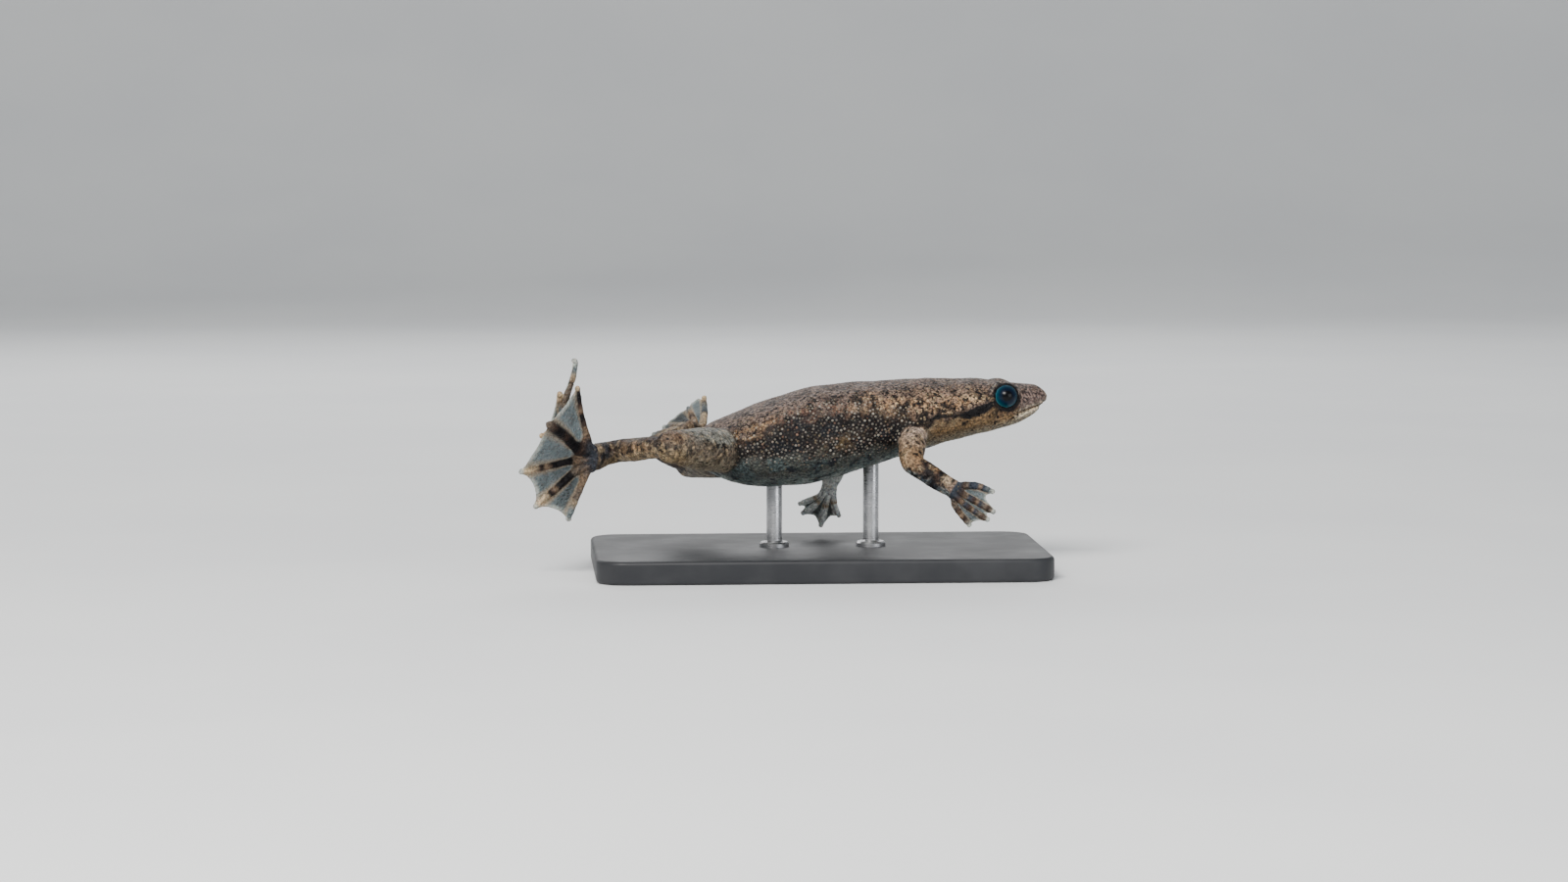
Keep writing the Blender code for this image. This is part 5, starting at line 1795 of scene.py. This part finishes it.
@dataclass
class Granules:
    """The small domes that stand on the skin, laid as one joined mesh."""

    trunk: Trunk
    eyes: tuple[EyePlace, ...]
    mouth: Mouth
    dark_zone: Rows
    seed: int = 11
    back_spacing: float = 0.6
    flank_spacing: float = 0.3
    belly_spacing: float = 0.46
    limb_spacing: float = 0.58
    radii: tuple[float, float] = (0.1, 0.17)
    sunk: float = 0.3
    patch: float = 0.003
    sides: int = 7
    shoulder: float = math.radians(46)
    foot: float = math.radians(-10)
    tries: int = 3
    most: int = 7000
    bare_snout_from: float = 20.6
    bare_lips_from: float = 19.3
    bare_lips_half: float = 0.7
    bare_round_eye: float = 1.95

    def template(self) -> tuple[Array, Array]:
        """Model one granule, a closed dome of radius 1, and return its points and faces."""
        deselect()
        bpy.ops.mesh.primitive_uv_sphere_add(segments=self.sides, ring_count=3, radius=1.0)
        enter_edit()
        bpy.ops.mesh.select_all(action="SELECT")
        bpy.ops.mesh.quads_convert_to_tris()
        leave_edit()
        dome = bpy.context.object
        points = np.array([vertex.co[:] for vertex in dome.data.vertices])
        height = points[:, 2].copy()
        for sign, turn in ((1.0, self.shoulder), (-1.0, self.foot)):
            ring = (sign * height > 0.1) & (sign * height < 0.9)
            points[ring, :2] = unit(points[ring, :2]) * math.cos(turn)
            points[ring, 2] = math.sin(turn)
        faces = np.array([polygon.vertices[:] for polygon in dome.data.polygons])
        bpy.data.objects.remove(dome, do_unlink=True)
        return points, faces

    def roots(self, skin: Piece) -> tuple[Array, Array]:
        """Return places scattered over the skin's faces, and the nearest point of the skin to each."""
        mesh = skin.data
        mesh.calc_loop_triangles()
        corners = np.repeat(read_items(mesh.loop_triangles, "vertices", 3, int), self.tries, axis=0)
        shares = np.random.default_rng(self.seed).dirichlet((1.0, 1.0, 1.0), len(corners))
        places = np.einsum("nk,nka->na", shares, read_points(skin)[corners])
        return places, corners[np.arange(len(corners)), shares.argmax(axis=1)]

    def flank_share(self, points: Array, height: Array) -> Array:
        """Return how much places belong to the beaded flank."""
        x = points[:, 0]
        along = ease(-10.5, -9.0, x) * (1.0 - ease(8.5, 10.5, x))
        foot, head = read_rows(self.dark_zone, x)
        return along * ease(foot - 0.14, foot, height) * (1.0 - ease(head + 0.08, head + 0.18, height))

    def spacing(self, points: Array, height: Array, as_limb: Array) -> Array:
        """Return how far apart granules stand at places on the skin."""
        flank = self.flank_share(points, height)
        body = self.belly_spacing + (self.back_spacing - self.belly_spacing) * ease(0.3, 0.8, height)
        body = body + (self.flank_spacing - body) * flank
        return body + (self.limb_spacing - body) * as_limb

    def bare(self, points: Array, code: Array) -> Array:
        """Return where no granule grows."""
        none = (code > 0.5) | (points[:, 0] > self.bare_snout_from)
        lips = np.abs(self.mouth.rise(points)) < self.bare_lips_half
        none |= (points[:, 0] > self.bare_lips_from) & lips
        for eye in self.eyes:
            none |= norms(points - np.array(eye.middle())) < self.bare_round_eye
        return none

    def choose(self, points: Array, spacing: Array, none: Array) -> list[int]:
        """Pick points of the skin that keep their spacing."""
        order = np.random.default_rng(self.seed + 2).permutation(np.flatnonzero(~none))
        cell = float(spacing.max())
        cells: dict[tuple[int, int, int], list[int]] = {}
        keys = np.floor(points / cell).astype(int)
        chosen: list[int] = []
        around = [(a, b, c) for a in (-1, 0, 1) for b in (-1, 0, 1) for c in (-1, 0, 1)]
        for index in order.tolist():
            x, y, z = keys[index].tolist()
            here = points[index]
            gap = spacing[index] ** 2
            near = [other for a, b, c in around for other in cells.get((x + a, y + b, z + c), ())]
            if near and ((points[near] - here) ** 2).sum(axis=1).min() < gap:
                continue
            cells.setdefault((x, y, z), []).append(index)
            chosen.append(index)
            if len(chosen) >= self.most:
                break
        return chosen

    def unwrap(self, points: Array, limb: Array, mark: Array, as_limb: Array) -> Array:
        """Return where roots lie on an unwrap of the skin: the body first, then a strip for each limb."""
        above = points[:, 2] - self.trunk.outline(points[:, 0])[3]
        turn = np.arctan2(above, points[:, 1]) / (2.0 * math.pi) + 0.5
        body = np.stack(((points[:, 0] + 14.0) / 39.0 * 0.6, turn), axis=1)
        strip = np.stack((0.62 + 0.06 * limb + 0.05 * turn, np.clip(mark / 2.2, 0.0, 1.0)), axis=1)
        return np.where((as_limb > 0.5)[:, None], strip, body) * 0.98 + 0.01

    def build(self, skin: Piece, builder: Skin, body: BodyMarkings) -> Piece:
        """Lay the granules over the painted skin.

        Args:
            skin: The painted skin.
            builder: The skin's builder, which knows the limbs.
            body: The body's markings.

        Returns:
            The granules as one mesh, with the skin's tones and a map of their roots.
        """
        limb, mark, _, as_limb = builder.regions(read_points(skin))
        points, nearest = self.roots(skin)
        limb, mark, as_limb = limb[nearest], mark[nearest], as_limb[nearest]
        height = body.height_share(points)
        spacing = self.spacing(points, height, as_limb)
        chosen = self.choose(points, spacing, self.bare(points, read_number(skin, "code")[nearest]))
        log.info("granules: %d", len(chosen))
        chance = np.random.default_rng(self.seed + 1).random((len(chosen), 3))
        low, high = self.radii
        flank = self.flank_share(points[chosen], height[chosen]) * (1.0 - as_limb[chosen])
        radius = (low + (high - low) * chance[:, 0] * (0.15 + 0.85 * flank)) * (0.6 + 0.4 * flank)
        shape, faces = self.template()
        root = points[chosen]
        normal = read_normals(skin)[nearest[chosen]]
        side = unit(np.cross(normal, np.array((0.3, 0.2, 0.93))))
        other = np.cross(normal, side)
        turn = chance[:, 1] * 2.0 * math.pi
        first = side * np.cos(turn)[:, None] + other * np.sin(turn)[:, None]
        second = np.cross(normal, first)
        flat = 0.55 + 0.25 * flank + 0.2 * chance[:, 2]
        wide = radius[:, None]
        axes = np.stack((first * wide, second * wide, normal * (radius * flat)[:, None]), axis=1)
        centre = root - normal * (radius * self.sunk * flat)[:, None]
        laid = centre[:, None, :] + np.einsum("pa,nab->npb", shape, axes)
        count = len(shape)
        all_faces = faces[None, :, :] + (np.arange(len(chosen)) * count)[:, None, None]
        mesh = bpy.data.meshes.new("granules")
        mesh.from_pydata((laid.reshape(-1, 3) * MM).tolist(), [], all_faces.reshape(-1, 3).tolist())
        piece = bpy.data.objects.new("granules", mesh)
        bpy.context.scene.collection.objects.link(piece)
        self.colour(piece, skin, nearest[chosen], count, flank, chance)
        self.map_roots(piece, self.unwrap(root, limb[chosen], mark[chosen], as_limb[chosen]), shape, faces)
        smooth_shade(piece)
        return piece

    def colour(
        self, piece: Piece, skin: Piece, chosen: Array, count: int, flank: Array, chance: Array,
    ) -> None:
        """Give each granule the skin's tone at its root, made paler."""
        layers = skin.data.attributes
        ground, marks = (read_items(layers[name].data, "color", 4) for name in ("ground", "marks"))
        tone = ground[chosen, :3]
        rosy = ease(0.65, 0.95, chance[:, 1])[:, None]
        bead = mix(Tone.BEAD.linear(), Tone.ROSE_BEAD.linear(), rosy)
        share = (flank * (0.3 + 0.6 * chance[:, 2]))[:, None]
        bead = bead * (0.24 + 0.95 * chance[:, :1] ** 2)
        tone = mix(tone * (0.92 + 0.45 * chance[:, :1]), bead, share)
        mark = marks[chosen] * (1.0 - 0.8 * flank)[:, None]
        write_colour(piece, "ground", np.repeat(np.clip(tone, 0.0, 1.0), count, axis=0))
        write_colour(piece, "marks", np.repeat(mark, count, axis=0))
        write_number(piece, "granule", np.ones(len(chosen) * count))

    def map_roots(self, piece: Piece, roots: Array, shape: Array, faces: Array) -> None:
        """Lay each granule's patch at its root's place on the skin's unwrap."""
        layer = piece.data.uv_layers.new(name="OFBake")
        corners = shape[faces.reshape(-1)][:, :2] * self.patch / 2.0
        laid = roots[:, None, :] + corners[None, :, :]
        layer.data.foreach_set("uv", laid.ravel())


@dataclass
class Eye:
    """One eyeball with a slightly domed cornea."""

    place: EyePlace
    segments: int = 96
    rings: int = 64
    cornea_rise: float = 0.05
    cornea_half: float = 0.75
    # Painted light: the side of the eye that the iris is painted brighter on, lower and towards the rear.
    lit_side: Place = (-0.75, 0.0, -0.66)

    def build(self) -> Piece:
        """Turn an eyeball to its gaze, store the distance from the gaze line, and store the painted light on
        its lower rear side.
        """
        deselect()
        bpy.ops.mesh.primitive_uv_sphere_add(
            segments=self.segments, ring_count=self.rings, radius=self.place.radius * MM,
        )
        ball = bpy.context.object
        ball.name = f"eyeball_{self.place.side.name.lower()}"
        points = read_points(ball)
        across = np.hypot(points[:, 0], points[:, 1])
        front = points[:, 2] > 0
        rise = self.cornea_rise * hump(0.0, self.cornea_half, across) * front
        points = points * (1.0 + rise / self.place.radius)[:, None]
        write_points(ball, points)
        write_number(ball, "iris_radius", np.where(front, across, 2.0))
        ball.rotation_euler = self.place.axis().to_track_quat("Z", "Y").to_euler()
        ball.location = self.place.middle() * MM
        bpy.ops.object.transform_apply(location=True, rotation=True, scale=True)
        offset = read_points(ball) - np.array(self.place.middle())
        # Painted light: glow rises towards the lit side, where light through the cornea falls on the iris.
        write_number(ball, "glow", ease(-0.5, 1.1, offset @ np.array(self.lit_side)))
        smooth_shade(ball)
        return ball


@dataclass
class Stand:
    """The flat base and the two rods under the belly."""

    trunk: Trunk
    length: float = 46.0
    width: float = 26.0
    thickness: float = 2.4
    corner_radius: float = 3.0
    edge_round: float = 0.4
    rod_radius: float = 0.8
    rod_sides: int = 64
    collar_radius: float = 1.5
    collar_height: float = 0.5
    sunk_in_belly: float = 0.35
    rods: dict[str, float] = field(default_factory=lambda: {"stand_rod_rear": -4.5, "stand_rod_front": 5.4})

    def build_base(self) -> Piece:
        """Build the base, with round corners and a rounded edge."""
        deselect()
        bpy.ops.mesh.primitive_cube_add(
            size=1.0, location=(0.0, 0.0, self.thickness * MM / 2.0),
            scale=(self.length * MM, self.width * MM, self.thickness * MM),
        )
        base = bpy.context.object
        base.name = "base"
        bpy.ops.object.transform_apply(location=True, rotation=True, scale=True)
        middles, _ = edge_middles(base)
        off_corner = np.abs(np.abs(middles[:, :2]) - np.array((self.length, self.width)) / 2.0)
        upright = (off_corner < 0.01).all(axis=1)
        select_parts(base, "EDGE", upright)
        bpy.ops.mesh.bevel(offset=self.corner_radius * MM, segments=16, affect="EDGES")
        leave_edit()
        apply_modifier(
            base, "edge", "BEVEL", width=self.edge_round * MM, segments=5, limit_method="ANGLE",
            angle_limit=math.radians(50),
        )
        weld(base)
        smooth_shade(base, math.radians(35))
        return base

    def profile(self, top: float) -> list[tuple[float, float]]:
        """Return a rod's turned outline, as radius and height, with its collar at the foot."""
        foot = self.thickness - 0.1
        rod, collar = self.rod_radius, self.collar_radius
        rise = self.thickness + self.collar_height
        return [
            (0.0, foot), (collar, foot), (collar, rise - 0.15), (collar - 0.15, rise), (rod + 0.12, rise),
            (rod, rise + 0.12), (rod, top - 0.3), (rod - 0.08, top - 0.1), (rod - 0.3, top), (0.0, top),
        ]

    def build_rod(self, name: str, x: float) -> Piece:
        """Turn one rod from its outline."""
        under = float(self.trunk.outline(np.array(x))[1])
        outline = self.profile(under + self.sunk_in_belly)
        turns = np.linspace(0.0, 2.0 * math.pi, self.rod_sides + 1)
        turns[-1] = 0.0
        table = np.array([[(x + r * math.cos(t), r * math.sin(t), z) for t in turns] for r, z in outline])
        rod = laid_grid(name.replace("stand_rod", "rod"), table)
        weld(rod)
        smooth_shade(rod, math.radians(40))
        return rod


@dataclass
class Studio:
    """The pale floor with its swept backdrop, the lights and the camera."""

    aim: Place = (-3.5, 0.0, 13.2)
    turn: float = math.radians(-4)
    tilt: float = math.radians(5)
    distance: float = 444.4
    lens: float = 100.0
    floor_front: float = 900.0
    floor_back: float = 420.0
    sweep_radius: float = 260.0
    wall_height: float = 900.0
    half_width: float = 1400.0

    def build_floor(self) -> Piece:
        """Lay the floor and its sweep up into the backdrop."""
        profile = [(-self.floor_front, 0.0), (0.0, 0.0), (self.floor_back, 0.0)]
        for step in range(1, 25):
            turn = 0.5 * math.pi * step / 24
            rise = self.sweep_radius * (1.0 - math.cos(turn))
            profile.append((self.floor_back + self.sweep_radius * math.sin(turn), rise))
        profile.append((self.floor_back + self.sweep_radius, self.wall_height))
        xs = np.linspace(-self.half_width, self.half_width, 9)
        table = np.array([[(x, y, z) for x in xs] for y, z in profile])
        floor = laid_grid("floor", table)
        smooth_shade(floor)
        return floor

    def place_camera(self) -> Piece:
        """Place the camera at the photograph's angle."""
        level = math.cos(self.tilt)
        back = Vector((math.sin(self.turn) * level, -math.cos(self.turn) * level, math.sin(self.tilt)))
        camera = bpy.data.objects.new("camera", bpy.data.cameras.new("camera"))
        bpy.context.scene.collection.objects.link(camera)
        camera.data.lens = self.lens
        camera.data.sensor_width = 36.0
        camera.data.clip_start = 0.01
        camera.data.clip_end = 20.0
        camera.location = (Vector(self.aim) + back * self.distance) * MM
        camera.rotation_euler = back.to_track_quat("Z", "Y").to_euler()
        bpy.context.scene.camera = camera
        return camera

    def add_light(
        self, name: str, place: Place, size: tuple[float, float], power: float, colour: Place,
    ) -> None:
        """Add a soft square light that faces the frog."""
        light = bpy.data.lights.new(name, "AREA")
        light.shape = "RECTANGLE"
        light.size, light.size_y = size[0] * MM, size[1] * MM
        light.energy = power
        light.color = colour
        lamp = bpy.data.objects.new(name, light)
        bpy.context.scene.collection.objects.link(lamp)
        lamp.location = Vector(place) * MM
        lamp.rotation_euler = (Vector(place) - Vector(self.aim)).to_track_quat("Z", "Y").to_euler()

    def light(self) -> None:
        """Set the soft lights and the pale surroundings."""
        self.add_light("key", (-140.0, -330.0, 330.0), (200.0, 160.0), 3.3, (1.0, 0.98, 0.95))
        self.add_light("fill", (320.0, -360.0, 130.0), (300.0, 240.0), 0.8, (0.94, 0.97, 1.0))
        self.add_light("rim", (-60.0, 330.0, 220.0), (420.0, 160.0), 0.8, (1.0, 1.0, 1.0))
        world = bpy.data.worlds.new("studio")
        bpy.context.scene.world = world
        world.use_nodes = True
        background = world.node_tree.nodes["Background"]
        background.inputs["Color"].default_value = (0.86, 0.9, 0.94, 1.0)
        background.inputs["Strength"].default_value = 0.38


def settle(piece: Piece, material: Material, slot: str, *nodes: str) -> None:
    """Dress a piece, let it ride on the one body, and hide the solids it stands for."""
    dress(piece, material)
    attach(piece, BODY)
    if nodes:
        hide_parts(*nodes)
    log.info("%s: %d faces", piece.name, len(piece.data.polygons))


def main() -> None:
    """Build the frog, its stand and the studio."""
    logging.basicConfig(level=logging.INFO, format="%(message)s")
    effects = Effects()
    trunk = Trunk()
    mouth = Mouth()
    eyes = (EyePlace(Side.RIGHT), EyePlace(Side.LEFT))
    fans = {
        "arm_right": right_hand(), "arm_left": left_hand(), "shank_right": right_foot(),
        "shank_left": left_foot(),
    }
    builder = Skin(trunk, eyes, mouth, frog_limbs(), fans, {"shank_right": right_foot_fold()})
    body = BodyMarkings(trunk, mouth, eyes)
    skin = builder.build()
    builder.paint(skin, body, limb_markings())
    write_number(skin, "granule", np.zeros(len(skin.data.vertices)))
    skin_finish = SkinFinish().make(effects)
    granules = Granules(trunk, eyes, mouth, body.dark_zone).build(skin, builder, body)
    settle(skin, skin_finish, "skin", *builder.replaced())
    settle(granules, skin_finish, "skin")
    eye_finish = EyeFinish().make(effects)
    for place in eyes:
        settle(Eye(place).build(), eye_finish, "eye", f"eye_{place.side.name.lower()}")
    stand = Stand(trunk)
    settle(stand.build_base(), PaintFinish().make(effects), "stand_base", "stand_base")
    steel = SteelFinish().make(effects)
    for name, x in stand.rods.items():
        settle(stand.build_rod(name, x), steel, "stand_rod", name)
    studio = Studio()
    floor = studio.build_floor()
    dress(floor, PlasterFinish().make(effects))
    studio.place_camera()
    studio.light()
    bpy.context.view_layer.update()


if __name__ == "__main__":
    main()
